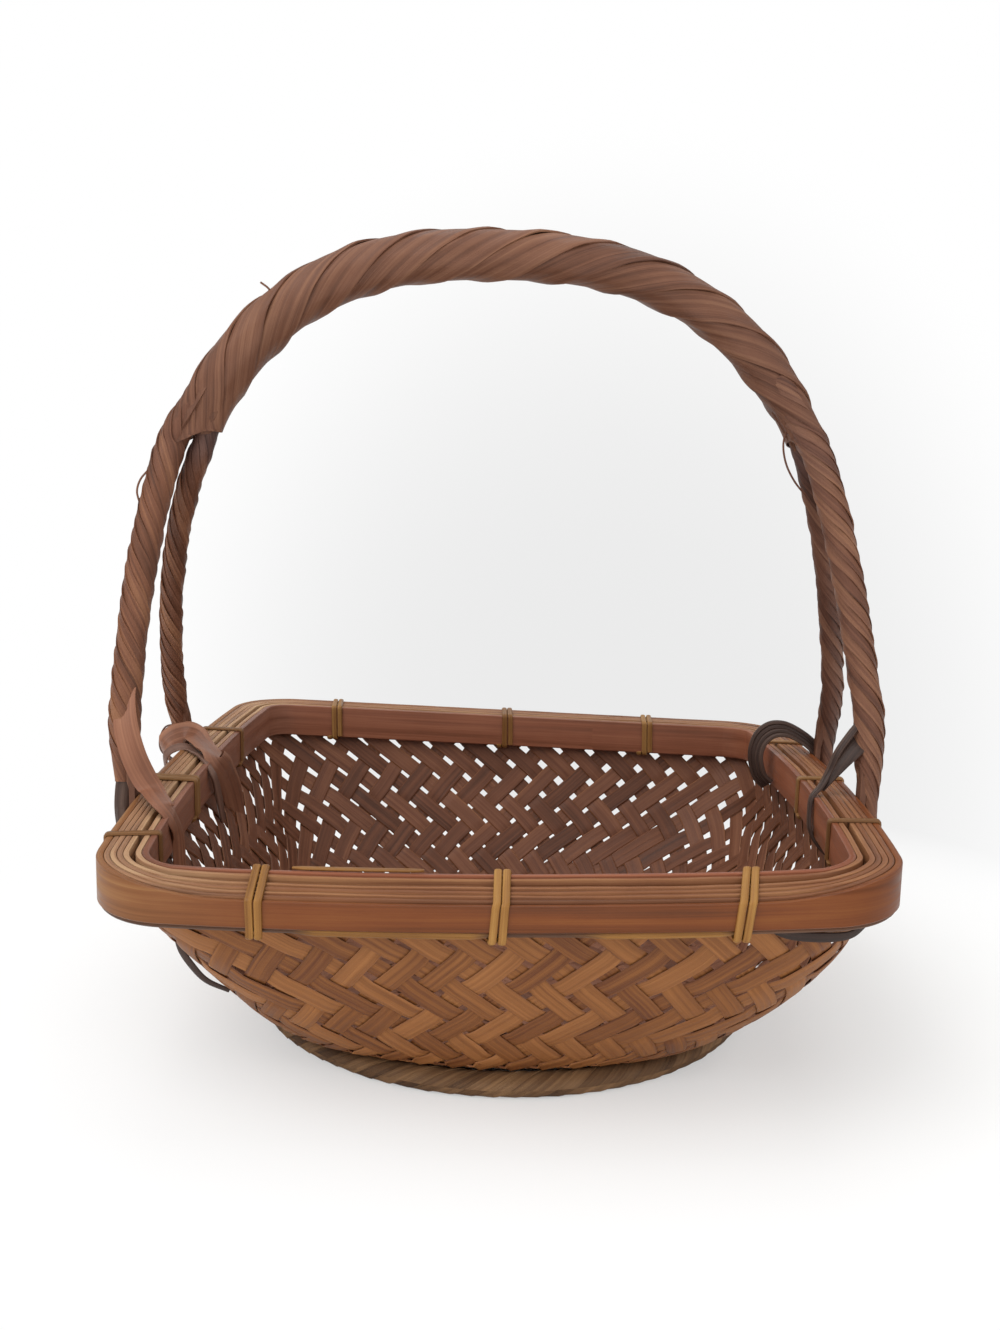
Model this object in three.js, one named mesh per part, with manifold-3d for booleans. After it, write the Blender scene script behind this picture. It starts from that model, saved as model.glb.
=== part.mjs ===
// Ikebana basket: a square bowl of twilled bamboo under a tall arched handle.
// Millimetres, +Z up, front towards -Y, origin on the floor at the middle of the foot.
import * as THREE from 'three';
import { mergeVertices } from 'three/addons/utils/BufferGeometryUtils.js';
import Module from 'manifold-3d';

const wasm = await Module();
wasm.setup();

// Clearances
const fitGap = 0.3;
const lashingGap = 0.35;
const windingGap = 0.75;

// Rim in plan: a rounded square whose sides bow slightly outwards
const rimHalf = 154;
const rimCornerRadius = 33;
const rimBowRadius = 1450;

// Rim in section: bands and edge strips stand side by side, with the woven wall among them
const rimBottom = 84.5;
const rimHeight = 16.5;
const bandThickness = 2.6;
const edgeStripThickness = 2;
const edgeStripCount = 5;
const stripsOutsideWall = 4;
const underStripWidth = 3.4;
const underStripHeight = 2.4;

// The rim is a little out of true, and its outer strips have slumped along the front
const rimTwist = 3.9;
const rimSaddle = 1.5;
const frontSlump = 6.5;
const slumpStart = 0.63 * rimHalf;
const slumpEnd = 0.95 * rimHalf;

// Bowl
const weaveThickness = 1.8;
const wallSwell = 1.29;
const wallLean = 4.5;
const cornerTightening = 0.76;
const baseCornerRadius = 66.5;
const baseBowRadius = 180;
const baseTurnUp = 6;
const baseRise = 1.5;
const baseOverhang = 2.5;
const wallInsetBelowRimTop = 3;

// Weave: strips climb the wall both ways round it and cross in rows, over two and under two
const stripsPerWay = 58;
const weaveRelief = 0.7;
const lowestRowSlope = 0.5;
const rowSlopeRise = 10;
const plainBelowRim = 3;

// Foot ring, which sits a little off the middle of the bowl
const footRadius = 105.5;
const footOffset = { x: 1.9, y: -2.7 };
const footCoreHalfWidth = 4.2;
const footCoreHalfHeight = 2.6;
const footWrapThickness = 1.3;
const footWrapLoops = 16;
const footWrapWidth = 36.5;
const footFlatCut = 0.5;

// Handle arch
const archHeight = 330;
const springHeight = 110;
const archExponent = 2.5;
const apexShift = -7;
const rightShoulderLean = 7;
const bundleRadiusLeft = 9.2;
const bundleRadiusRight = 7.8;
const bundleWrapThickness = 1.4;
const strandGap = 0.6;
const splitAngleLeft = 80;
const splitAngleRight = 15;

// Legs: where the two strands part, and where each leg meets the rim
const splitHeight = 245;
const partingLength = 20;
const frontLegRadius = 4.8;
const rearLegRadius = 3.5;
const legWrapThickness = 1.2;
const frontLegAt = { left: -0.325 * rimHalf, right: -0.182 * rimHalf };
const rearLegAt = { left: 0.3 * rimHalf, right: 0.39 * rimHalf };
const legWrapStop = 17;
const legTailStart = 4;

// Flat tails of the legs, outside the rim and down the bowl
const tailThickness = 3;
const tailWidth = 9;
const tailStandOff = 1.2;
const tailRimClearance = 0.4;
const tailEndHeight = 17;
const tailBend = 8;
const tailLowering = 2;

// Windings
const archWrapPitch = 105;
const archWrapStarts = 4;
const legWrapPitch = 60;
const legWrapStarts = 2;
const wrapSeam = 1.3;
const bindingWidth = 2.8;
const bindingThickness = 1.1;
const bindingPitch = 3.3;
const slotMargin = 0.6;

// Ties of the legs to the rim
const tieThickness = 1.3;
const narrowTieThickness = 1;
const tieTailClearance = 1;
const strapWidth = 9;
const strapRise = 22;
const strapLanding = { inset: 7, rise: 5 };
const bandWidth = 8;
const bandGap = 1.5;
const bandReach = 0.6;
const loopWidth = 2.8;
const loopPitch = 4.2;
const loopRise = 5;
const doubleWidth = 3.2;
const doublePitch = 4.6;

// Counts that set how fine the curved surfaces are
const sideStations = [-1, -0.8, -0.4, 0, 0.4, 0.8];
const segmentsPerCorner = 6;
const wallLevels = 6;
const footSegments = 40;
const strandSides = 10;
const strandStations = 66;
const archRowsPerTurn = 14;
const legRowsPerTurn = 11;

// Bindings: side of the rim, place along it as a share of the rim's half width, and number of turns
const bindings = [
  { name: 'binding_front_left', side: 'front', share: -0.55, turns: 2 },
  { name: 'binding_front_middle', side: 'front', share: 0.01, turns: 2 },
  { name: 'binding_front_right', side: 'front', share: 0.565, turns: 2 },
  { name: 'binding_back_left', side: 'back', share: -0.63, turns: 2 },
  { name: 'binding_back_middle', side: 'back', share: -0.01, turns: 2 },
  { name: 'binding_back_right', side: 'back', share: 0.5, turns: 2 },
  { name: 'binding_left_rear', side: 'left', share: 0.415, turns: 1 },
  { name: 'binding_left_middle', side: 'left', share: -0.17, turns: 2 },
  { name: 'binding_left_front', side: 'left', share: -0.675, turns: 1 },
  { name: 'binding_right_rear', side: 'right', share: 0.55, turns: 1 },
  { name: 'binding_right_middle', side: 'right', share: 0.01, turns: 1 },
  { name: 'binding_right_front', side: 'right', share: -0.47, turns: 1 },
];

// Finishes
const rimBamboo = { color: 0x8a5736, roughness: 0.45 };
const stripBamboo = { color: 0x7f5944, roughness: 0.55 };
const wovenBamboo = { color: 0x83563a, roughness: 0.6 };
const handleBamboo = { color: 0x7b5445, roughness: 0.5 };
const coreBamboo = { color: 0x5f4030, roughness: 0.7 };
const darkBamboo = { color: 0x46352b, roughness: 0.6 };
const footBamboo = { color: 0x624a38, roughness: 0.65 };
const rattan = { color: 0xa0733f, roughness: 0.5 };

const quarterTurn = Math.PI / 2;
const up = new THREE.Vector3(0, 0, 1);
const depthAxis = new THREE.Vector3(0, 1, 0);

const clamp01 = (value) => Math.min(1, Math.max(0, value));
const mix = (from, to, share) => from + (to - from) * share;
const ease = (from, to, value) => {
  const share = clamp01((value - from) / (to - from));
  return share * share * (3 - 2 * share);
};
const radians = THREE.MathUtils.degToRad;

const group = new THREE.Group();

function addPiece(name, geometry, finish) {
  const material = new THREE.MeshStandardMaterial({ ...finish, metalness: 0 });
  const mesh = new THREE.Mesh(geometry, material);
  mesh.name = name;
  group.add(mesh);
}

// Closed bodies from rings of points

function signedVolume(points, index) {
  let volume = 0;
  for (let i = 0; i < index.length; i += 3) {
    const [a, b, c] = [points[index[i]], points[index[i + 1]], points[index[i + 2]]];
    volume += a.dot(b.clone().cross(c)) / 6;
  }
  return volume;
}

// Covers one end of a body whose ring points run round its section
function coverEnd(index, first, across, reversed) {
  let low = 0;
  let high = across - 1;
  const add = (a, b, c) => {
    const triangle = reversed ? [a, c, b] : [a, b, c];
    index.push(...triangle.map((corner) => first + corner));
  };
  while (high - low >= 2) {
    add(low, low + 1, high);
    if (high - 1 > low + 1) add(low + 1, high - 1, high);
    low += 1;
    high -= 1;
  }
}

// Faces between two rings that differ in their number of points: each goes the shorter way across
function joinUnlikeRings(points, index, here, there) {
  const at = (ring, step) => ring.first + (step % ring.count);
  let i = 0;
  let j = 0;
  while (i < here.count || j < there.count) {
    const [a, b] = [at(here, i), at(there, j)];
    const [nextA, nextB] = [at(here, i + 1), at(there, j + 1)];
    const isShorterHere = points[nextA].distanceTo(points[b]) < points[a].distanceTo(points[nextB]);
    if (j === there.count || (i < here.count && isShorterHere)) {
      index.push(a, nextA, b);
      i += 1;
    } else {
      index.push(a, nextB, b);
      j += 1;
    }
  }
}

// Quads between rings are split along one diagonal, or along the other where isTurned says so
function bodyFromRings(rings, isLoop = false, isTurned = () => false) {
  const points = rings.flat();
  const index = [];
  const places = [];
  let first = 0;
  for (const { length } of rings) {
    places.push({ first, count: length });
    first += length;
  }
  const spans = isLoop ? rings.length : rings.length - 1;
  for (let i = 0; i < spans; i++) {
    const here = places[i];
    const there = places[(i + 1) % rings.length];
    if (here.count !== there.count) {
      joinUnlikeRings(points, index, here, there);
      continue;
    }
    for (let j = 0; j < here.count; j++) {
      const k = (j + 1) % here.count;
      const [a, b, c, d] = [here.first + j, here.first + k, there.first + k, there.first + j];
      index.push(...(isTurned(i, j) ? [a, b, d, b, c, d] : [a, b, c, a, c, d]));
    }
  }
  if (!isLoop) {
    coverEnd(index, 0, places[0].count, true);
    coverEnd(index, places.at(-1).first, places.at(-1).count, false);
  }
  if (signedVolume(points, index) < 0) index.reverse();
  const geometry = new THREE.BufferGeometry().setFromPoints(points);
  geometry.setIndex(index);
  geometry.computeVertexNormals();
  return geometry;
}

// Solids for cutting

function toSolid(geometry) {
  const bare = geometry.clone();
  bare.deleteAttribute('normal');
  bare.deleteAttribute('uv');
  const merged = mergeVertices(bare, 1e-4);
  const vertProperties = new Float32Array(merged.attributes.position.array);
  const triVerts = new Uint32Array(merged.index.array);
  return new wasm.Manifold(new wasm.Mesh({ numProp: 3, vertProperties, triVerts }));
}

function toGeometry(solid) {
  const mesh = solid.getMesh();
  const geometry = new THREE.BufferGeometry();
  geometry.setAttribute('position', new THREE.BufferAttribute(mesh.vertProperties, 3));
  geometry.setIndex(new THREE.BufferAttribute(mesh.triVerts, 1));
  geometry.computeVertexNormals();
  return geometry;
}

// Plan of the rim and the bowl

// Angle either side of a side's middle normal that the bowed side covers
function sideSpread(plan) {
  const ratio = (plan.bow - plan.half) / ((plan.bow - plan.corner) * Math.SQRT2);
  return Math.acos(ratio) - Math.PI / 4;
}

// A station names the same place on every plan: its side, and how far along the side or corner
function planStations() {
  const stations = [];
  for (let quarter = 0; quarter < 4; quarter++) {
    const next = (quarter + 1) % 4;
    for (const alongSide of sideStations.filter((along) => along >= 0)) stations.push({ quarter, alongSide });
    for (let i = 0; i < segmentsPerCorner; i++) {
      stations.push({ quarter, alongCorner: i / segmentsPerCorner });
    }
    for (const alongSide of sideStations.filter((along) => along < 0)) {
      stations.push({ quarter: next, alongSide });
    }
  }
  return stations;
}

function planPoint(plan, station) {
  const spread = sideSpread(plan);
  const onSide = station.alongSide !== undefined;
  const local = onSide
    ? station.alongSide * spread
    : spread + station.alongCorner * (quarterTurn - 2 * spread);
  const radius = onSide ? plan.bow : plan.corner;
  const centre = new THREE.Vector3(plan.half - plan.bow, 0, 0);
  if (!onSide) {
    centre.x += (plan.bow - plan.corner) * Math.cos(spread);
    centre.y += (plan.bow - plan.corner) * Math.sin(spread);
  }
  const offset = new THREE.Vector3(Math.cos(local), Math.sin(local), 0).multiplyScalar(radius);
  return centre.add(offset).applyAxisAngle(up, station.quarter * quarterTurn);
}

const rimPlan = (inset) => ({
  half: rimHalf - inset,
  corner: rimCornerRadius - inset,
  bow: rimBowRadius - inset,
});

const stations = planStations();

// How far the rim is out of true at a place in plan
function warpAt(x, y) {
  return (rimSaddle * (x * x - y * y) - rimTwist * x * y) / (rimHalf * rimHalf);
}

// Rim layers, from the outer face inwards

const rimLayers = [{ name: 'rim_outer_band', thickness: bandThickness }];
for (let i = 1; i <= edgeStripCount; i++) {
  rimLayers.push({ name: `rim_strip_${i}`, thickness: edgeStripThickness });
}
rimLayers.push({ name: 'rim_inner_band', thickness: bandThickness });
rimLayers.splice(1 + stripsOutsideWall, 0, { name: 'wall', thickness: weaveThickness });

let rimDepth = 0;
for (const layer of rimLayers) {
  layer.near = rimDepth;
  layer.far = rimDepth + layer.thickness;
  rimDepth = layer.far + fitGap;
}
rimDepth -= fitGap;
const wallLayer = rimLayers.find((layer) => layer.name === 'wall');

// Height of the rim's top at a place in plan: the outer strips sag along the front
function rimTopAt(x, y, inset) {
  const sagging = y < 0 ? 1 - ease(slumpStart, slumpEnd, Math.abs(x)) : 0;
  const sag = frontSlump * sagging * clamp01(1 - inset / rimDepth) * ease(0, rimHalf / 2, -y);
  return rimBottom + rimHeight - sag + warpAt(x, y);
}

function rimPointAt(station, inset, heightOf) {
  const outer = planPoint(rimPlan(0), station);
  const point = planPoint(rimPlan(inset), station);
  point.z = heightOf(outer.x, outer.y, inset);
  return point;
}

const rimBottomAt = (x, y) => rimBottom + warpAt(x, y);
const underStripNear = bandThickness * 0.4;
const underStripFar = underStripNear + underStripWidth;
const underStripTopAt = (x, y) => rimBottomAt(x, y) - fitGap;
const underStripDrop = fitGap + underStripHeight;
const underStripBottomAt = (x, y) => rimBottomAt(x, y) - underStripDrop;

function hoop(near, far, bottomOf, topOf) {
  const rings = stations.map((station) => [
    rimPointAt(station, near, bottomOf),
    rimPointAt(station, near, topOf),
    rimPointAt(station, far, topOf),
    rimPointAt(station, far, bottomOf),
  ]);
  return bodyFromRings(rings, true);
}

function addRim() {
  for (const layer of rimLayers.filter((each) => each !== wallLayer)) {
    const isBand = layer.name.endsWith('band');
    const geometry = hoop(layer.near, layer.far, rimBottomAt, rimTopAt);
    addPiece(layer.name, geometry, isBand ? rimBamboo : stripBamboo);
  }
  const strip = hoop(underStripNear, underStripFar, underStripBottomAt, underStripTopAt);
  addPiece('rim_under_strip', strip, rattan);
}

// Bowl

const footHalfHeight = footCoreHalfHeight + windingGap + footWrapThickness;
const footCentreHeight = footHalfHeight - footFlatCut;
const baseHeight = footCentreHeight + footHalfHeight + fitGap;
const baseHalf = footRadius + baseOverhang;
const wallStart = baseHeight + baseRise;
const wallEnd = rimBottom - fitGap;

// How far up the wall a height lies: 0 at the base's edge, 1 at the rim
const wallShare = (height) => clamp01((height - wallStart) / (wallEnd - wallStart));

// The wall leans a little to the right between the foot and the rim
function leanAt(height) {
  const share = wallShare(height);
  return 4 * wallLean * share * (1 - share);
}

// Outer surface of the wall between the base's edge and the rim
function wallPlan(height) {
  const share = wallShare(height);
  const swell = 1 - (1 - share) ** wallSwell;
  const top = rimPlan(wallLayer.near);
  return {
    half: mix(baseHalf, top.half, swell),
    corner: mix(baseCornerRadius, top.corner, share ** cornerTightening),
    bow: mix(baseBowRadius, top.bow, share),
  };
}

const shrunkPlan = (plan, by) => ({ half: plan.half - by, corner: plan.corner - by, bow: plan.bow - by });

// Plans and heights from the flat of the base up to the top of the wall below the rim
function bowlProfile() {
  const edge = wallPlan(wallStart);
  const profile = [
    { plan: shrunkPlan(edge, baseTurnUp), z: baseHeight },
    { plan: shrunkPlan(edge, baseTurnUp / 2), z: baseHeight + baseRise / 4 },
  ];
  for (let i = 0; i <= wallLevels; i++) {
    const z = mix(wallStart, wallEnd, i / wallLevels);
    profile.push({ plan: wallPlan(z), z });
  }
  return profile;
}

// Moves a point of a plan to its height, with the rim's warp and the wall's lean
function raise(point, z) {
  const warped = clamp01((z - baseHeight) / (wallEnd - baseHeight));
  point.z = z + warped * warpAt(point.x, point.y);
  point.x += leanAt(z);
  return point;
}

const bowlRing = ({ plan, z }) => stations.map((station) => raise(planPoint(plan, station), z));

function insideOf(profile) {
  return profile.map(({ plan, z }, i) => {
    const before = profile[Math.max(0, i - 1)];
    const after = profile[Math.min(profile.length - 1, i + 1)];
    const run = i === 0 ? 1 : after.plan.half - before.plan.half;
    const rise = i === 0 ? 0 : after.z - before.z;
    const isTop = i === profile.length - 1;
    const length = Math.hypot(run, rise);
    const inward = isTop ? weaveThickness : (weaveThickness * rise) / length;
    const lift = isTop ? 0 : (weaveThickness * run) / length;
    return { plan: shrunkPlan(plan, inward), z: z + lift };
  });
}

// Points at equal distances round the outline of a plan
function evenPoints(plan, count) {
  const corners = stations.map((station) => planPoint(plan, station));
  corners.push(corners[0].clone());
  const distances = [0];
  for (let i = 1; i < corners.length; i++) {
    distances.push(distances[i - 1] + corners[i].distanceTo(corners[i - 1]));
  }
  const points = [];
  let next = 1;
  for (let i = 0; i < count; i++) {
    const wanted = (distances.at(-1) * i) / count;
    while (distances[next] < wanted) next += 1;
    const share = (wanted - distances[next - 1]) / (distances[next] - distances[next - 1]);
    points.push(corners[next - 1].clone().lerp(corners[next], share));
  }
  return points;
}

// Heights at which strips cross: as far apart up the wall as round it, but closer near the foot
function crossingHeights() {
  const heights = [wallStart];
  const step = 0.25;
  let rows = 0;
  for (let z = wallStart; z < wallEnd - plainBelowRim; z += step) {
    const run = wallPlan(z + step).half - wallPlan(z).half;
    const slope = mix(lowestRowSlope, 1, ease(wallStart, wallStart + rowSlopeRise, z));
    const [first, second] = evenPoints(wallPlan(z), 2 * stripsPerWay);
    rows += Math.hypot(step, run) / (slope * first.distanceTo(second));
    if (rows >= heights.length) heights.push(z + step);
  }
  return heights;
}

// Outer face of the weave at a crossing height: low where the edges of the strips meet
function reliefRing(z, row) {
  const points = evenPoints(wallPlan(z), 2 * stripsPerWay);
  return points.map((point, i) => {
    const before = points.at(i - 1);
    const after = points[(i + 1) % points.length];
    const outward = after.clone().sub(before).cross(up).normalize();
    const depth = (i + row) % 2 === 0 ? 0 : weaveRelief;
    return raise(point.clone().addScaledVector(outward, -depth), z);
  });
}

function bowlGeometry() {
  const profile = bowlProfile();
  const [flat] = profile;
  const base = evenPoints(flat.plan, 2 * stripsPerWay).map((point) => raise(point, flat.z));
  const relief = crossingHeights().map(reliefRing);
  const wallTopAt = (x, y, inset) => rimTopAt(x, y, inset) - wallInsetBelowRimTop;
  const rings = [
    base,
    ...relief,
    bowlRing(profile.at(-1)),
    stations.map((station) => rimPointAt(station, wallLayer.near, wallTopAt)),
    stations.map((station) => rimPointAt(station, wallLayer.far, wallTopAt)),
    ...insideOf(profile).map(bowlRing).reverse(),
  ];
  // Ridges follow the strips that lie on top, and end where those strips dive under
  const isTurned = (ring, place) => {
    const row = ring - 1;
    if (row % 4 === 0) return false;
    if (row % 4 === 2) return true;
    return (row + place) % 2 === 0;
  };
  return bodyFromRings(rings, false, isTurned);
}

// Strips wound over the rim

const sideQuarter = { right: 0, back: 1, left: 2, front: 3 };
const sideSign = { right: 1, back: -1, left: -1, front: 1 };

// A place on the rim's outer face, with the directions and heights that a lashing needs there
function rimPlace(side, at) {
  const turn = Math.asin((sideSign[side] * at) / rimBowRadius);
  const quarter = sideQuarter[side] * quarterTurn;
  const point = new THREE.Vector3(rimHalf - rimBowRadius, 0, 0);
  point.x += rimBowRadius * Math.cos(turn);
  point.y += rimBowRadius * Math.sin(turn);
  point.applyAxisAngle(up, quarter);
  const outward = new THREE.Vector3(Math.cos(quarter + turn), Math.sin(quarter + turn), 0);
  const along = new THREE.Vector3().crossVectors(up, outward).multiplyScalar(sideSign[side]);
  const { x, y } = point;
  return {
    side,
    at,
    point,
    outward,
    along,
    bottom: rimBottomAt(x, y),
    underBottom: underStripBottomAt(x, y),
    outerTop: rimTopAt(x, y, 0),
    innerTop: rimTopAt(x, y, rimDepth),
  };
}

// Rows of a strip that lies on the left of a path of corners given as inset, height and place along
function stripRows(corners, gap) {
  const normals = [];
  for (let i = 0; i + 1 < corners.length; i++) {
    const run = corners[i + 1].inset - corners[i].inset;
    const rise = corners[i + 1].z - corners[i].z;
    normals.push(new THREE.Vector2(-rise, run).normalize());
  }
  const rows = [];
  corners.forEach((corner, i) => {
    const before = normals[Math.max(0, i - 1)];
    const after = normals[Math.min(normals.length - 1, i)];
    const middle = before.clone().add(after).normalize();
    const isOuterBend = before.cross(after) < 0;
    const cosine = middle.dot(after);
    const isSharp = cosine < Math.cos(radians(12));
    if (isOuterBend && isSharp) {
      rows.push({ corner, normal: before, gap, reach: 1 });
      rows.push({ corner, normal: middle, gap, reach: 1 });
      rows.push({ corner, normal: after, gap, reach: 1 });
    } else {
      rows.push({ corner, normal: middle, gap: gap / cosine, reach: 1 / cosine });
    }
  });
  return rows;
}

// Section rings of a strip from its rows at a place on the rim
function stripRings(place, corners, width, thickness) {
  return stripRows(corners, lashingGap).map(({ corner, normal, gap, reach }) => {
    const here = rimPlace(place.side, place.at + corner.along);
    const lift = new THREE.Vector3()
      .addScaledVector(here.outward, -normal.x)
      .addScaledVector(up, normal.y);
    const middle = here.point.clone().addScaledVector(here.outward, -corner.inset);
    middle.z = corner.z + here.bottom - place.bottom;
    const pointAt = (sideways, height) => middle
      .clone()
      .addScaledVector(here.along, sideways * width / 2)
      .addScaledVector(lift, height);
    const inner = gap;
    const outer = gap + thickness * reach;
    return [pointAt(-1, inner), pointAt(1, inner), pointAt(1, outer), pointAt(-1, outer)];
  });
}

// Corners of one pass round the rim, from below its inner face up the outside and back
function rimPass(place, alongAt) {
  return [
    { inset: rimDepth, z: place.bottom, along: alongAt(0) },
    { inset: underStripFar, z: place.underBottom, along: alongAt(0.25) },
    { inset: 0, z: place.underBottom, along: alongAt(0.4) },
    { inset: 0, z: place.outerTop, along: alongAt(0.6) },
    { inset: rimDepth, z: place.innerTop, along: alongAt(0.8) },
  ];
}

const wallSlots = [];

// Notes where a strip passes through the weave below the rim
function noteSlot(place, along, width, thickness) {
  const share = (wallLayer.near - underStripFar) / (rimDepth - underStripFar);
  const level = mix(place.underBottom, place.bottom, share);
  wallSlots.push({ place, along, width, level, thickness });
}

// Least distance between a winding's own turns, taken over the points of its rings
function leastGapBetweenTurns(rings, ringsPerTurn) {
  let least = Infinity;
  for (let i = 0; i < rings.length; i++) {
    for (let j = i + Math.ceil(ringsPerTurn * 0.6); j < rings.length; j++) {
      for (const a of rings[i]) {
        for (const b of rings[j]) least = Math.min(least, a.distanceTo(b));
      }
    }
  }
  return least;
}

function reportGap(name, rings, ringsPerTurn) {
  const least = leastGapBetweenTurns(rings, ringsPerTurn);
  if (Number.isFinite(least)) console.log(`${name}: least gap between turns ${least.toFixed(2)} mm`);
}

function addBinding({ name, side, share, turns }) {
  const place = rimPlace(side, share * rimHalf);
  const start = (-bindingPitch * turns) / 2;
  const corners = [];
  for (let turn = 0; turn < turns; turn++) {
    corners.push(...rimPass(place, (passed) => start + bindingPitch * (turn + passed)));
  }
  const end = start + bindingPitch * turns;
  corners.push({ inset: rimDepth, z: place.bottom + bindingWidth / 2, along: end });
  const rings = stripRings(place, corners, bindingWidth, bindingThickness);
  reportGap(name, rings, rings.length / turns);
  addPiece(name, bodyFromRings(rings), rattan);
  noteSlot(place, 0, bindingPitch * turns + bindingWidth, bindingThickness);
}

// Handle centreline

const wrappedFrontRadius = frontLegRadius + windingGap + legWrapThickness;
const wrappedRearRadius = rearLegRadius + windingGap + legWrapThickness;
const legReach = rimHalf + fitGap + wrappedFrontRadius;

// How strongly the right shoulder leans in at a share of the arch's rise: 0 at both ends, 1 at most
function shoulderAt(rise) {
  const peak = 3 / 7;
  const lean = (share) => share ** 1.5 * (1 - share) ** 2;
  return lean(rise) / lean(peak);
}

function archPoint(angle) {
  const across = Math.cos(angle);
  const rise = Math.abs(Math.sin(angle)) ** (2 / archExponent);
  const reach = legReach * Math.sign(across) * Math.abs(across) ** (2 / archExponent);
  const z = mix(springHeight, archHeight, rise);
  const lean = across < 0 ? rightShoulderLean * shoulderAt(rise) : 0;
  const shift = apexShift * rise * rise - lean;
  return new THREE.Vector3(shift - reach, 0, z);
}

const bundleShare = (x) => clamp01((x / legReach + 1) / 2);
const bundleRadiusAt = (x) => mix(bundleRadiusLeft, bundleRadiusRight, ease(0.3, 0.9, bundleShare(x)));
const splitAngleAt = (x) => radians(mix(splitAngleLeft, splitAngleRight, ease(0.1, 0.9, bundleShare(x))));

// How far a strand has parted from its neighbour at a height: 0 in the arch, 1 below the split
const partedAt = (z) => 1 - ease(splitHeight, splitHeight + partingLength, z);
const spreadAt = (z) => clamp01((splitHeight - z) / (splitHeight - springHeight));

// Outward and depthwise directions across a track
function crossAxes(tangent) {
  const outward = new THREE.Vector3().crossVectors(tangent, depthAxis).normalize();
  const deep = new THREE.Vector3().crossVectors(outward, tangent).normalize();
  return { outward, deep };
}

const front = { name: 'front', sign: 1, radius: frontLegRadius, wrapped: wrappedFrontRadius, at: frontLegAt };
const rear = { name: 'rear', sign: -1, radius: rearLegRadius, wrapped: wrappedRearRadius, at: rearLegAt };

// Distance of a strand's middle from the middle of the arch
function strandOffset(strand, x, z) {
  const packed = bundleRadiusAt(x) / 2;
  return mix(packed, strand.wrapped + fitGap, partedAt(z)) * (1 - spreadAt(z)) ** 2;
}

function archTrackPoint(strand, angle) {
  const step = 0.01;
  const middle = archPoint(angle);
  const tangent = archPoint(angle + step).sub(archPoint(angle - step)).normalize();
  const { outward, deep } = crossAxes(tangent);
  const turned = splitAngleAt(middle.x);
  const offset = strand.sign * strandOffset(strand, middle.x, middle.z);
  const point = middle.clone();
  point.addScaledVector(outward, offset * Math.sin(turned));
  point.addScaledVector(deep, -offset * Math.cos(turned));
  const footing = middle.x < 0 ? strand.at.left : strand.at.right;
  point.y += footing * spreadAt(middle.z);
  return point;
}

// Sideways distance of the bowl's wall from the middle, at a height and a place along the side
function wallReach(side, height, y) {
  const plan = wallPlan(height);
  const spread = sideSpread(plan);
  const lean = side === 'left' ? -leanAt(height) : leanAt(height);
  const sideEnd = plan.bow * Math.sin(spread);
  if (Math.abs(y) <= sideEnd) return lean + plan.half - plan.bow + Math.sqrt(plan.bow ** 2 - y * y);
  const cornerX = plan.half - plan.bow + (plan.bow - plan.corner) * Math.cos(spread);
  const cornerY = (plan.bow - plan.corner) * Math.sin(spread);
  return lean + cornerX + Math.sqrt(plan.corner ** 2 - (Math.abs(y) - cornerY) ** 2);
}

// Points of a leg's flat tail, from its end beside the foot up to the rim
function tailPoints(side, y) {
  const sign = side === 'left' ? -1 : 1;
  const half = tailThickness / 2;
  const besideRim = Math.abs(rimPlace(side, y).point.x) + tailRimClearance + half;
  const lowest = rimBottom - underStripDrop - tailLowering;
  const points = [];
  const steps = 6;
  for (let i = 0; i <= steps; i++) {
    const z = mix(tailEndHeight, lowest - 2 * tailBend, i / steps);
    const reach = wallReach(side, z, y);
    const slope = (wallReach(side, z + 1, y) - wallReach(side, z - 1, y)) / 2;
    const lean = Math.hypot(1, slope);
    points.push(new THREE.Vector3(sign * (reach + (half + tailStandOff) * lean), y, z));
  }
  const settle = mix(wallReach(side, lowest - tailBend, y) + half + tailStandOff, besideRim, 0.6);
  points.push(new THREE.Vector3(sign * settle, y, lowest - tailBend));
  for (const z of [lowest - tailBend / 8, rimBottom + rimHeight / 2, rimBottom + rimHeight + tailLowering]) {
    points.push(new THREE.Vector3(sign * besideRim, y, z));
  }
  return points;
}

function strandTrack(strand) {
  const points = tailPoints('left', strand.at.left);
  const steps = 44;
  const first = 0.07;
  for (let i = 0; i <= steps; i++) {
    points.push(archTrackPoint(strand, mix(first, Math.PI - first, i / steps)));
  }
  points.push(...tailPoints('right', strand.at.right).reverse());
  return new THREE.CatmullRomCurve3(points, false, 'centripetal');
}

function trackFrame(curve, share) {
  const point = curve.getPointAt(clamp01(share));
  const tangent = curve.getTangentAt(clamp01(share));
  return { point, ...crossAxes(tangent) };
}

// Distance from a strand's middle to its surface in a direction round its section
function packedRadius(angle, bundleRadius) {
  const centre = bundleRadius / 2;
  const cosine = Math.cos(angle);
  const toRound = -centre * cosine + Math.sqrt((centre * cosine) ** 2 - centre ** 2 + bundleRadius ** 2);
  if (cosine >= 0) return toRound;
  return Math.min(toRound, (strandGap / 2 - centre) / cosine);
}

function flatRadius(angle) {
  const power = 4;
  const thick = Math.abs(Math.cos(angle) / (tailThickness / 2)) ** power;
  const wide = Math.abs(Math.sin(angle) / (tailWidth / 2)) ** power;
  return (thick + wide) ** (-1 / power);
}

const rimTopHeight = rimBottom + rimHeight;
const tailAt = (z) => 1 - ease(rimTopHeight + legTailStart, rimTopHeight + legWrapStop, z);

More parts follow.
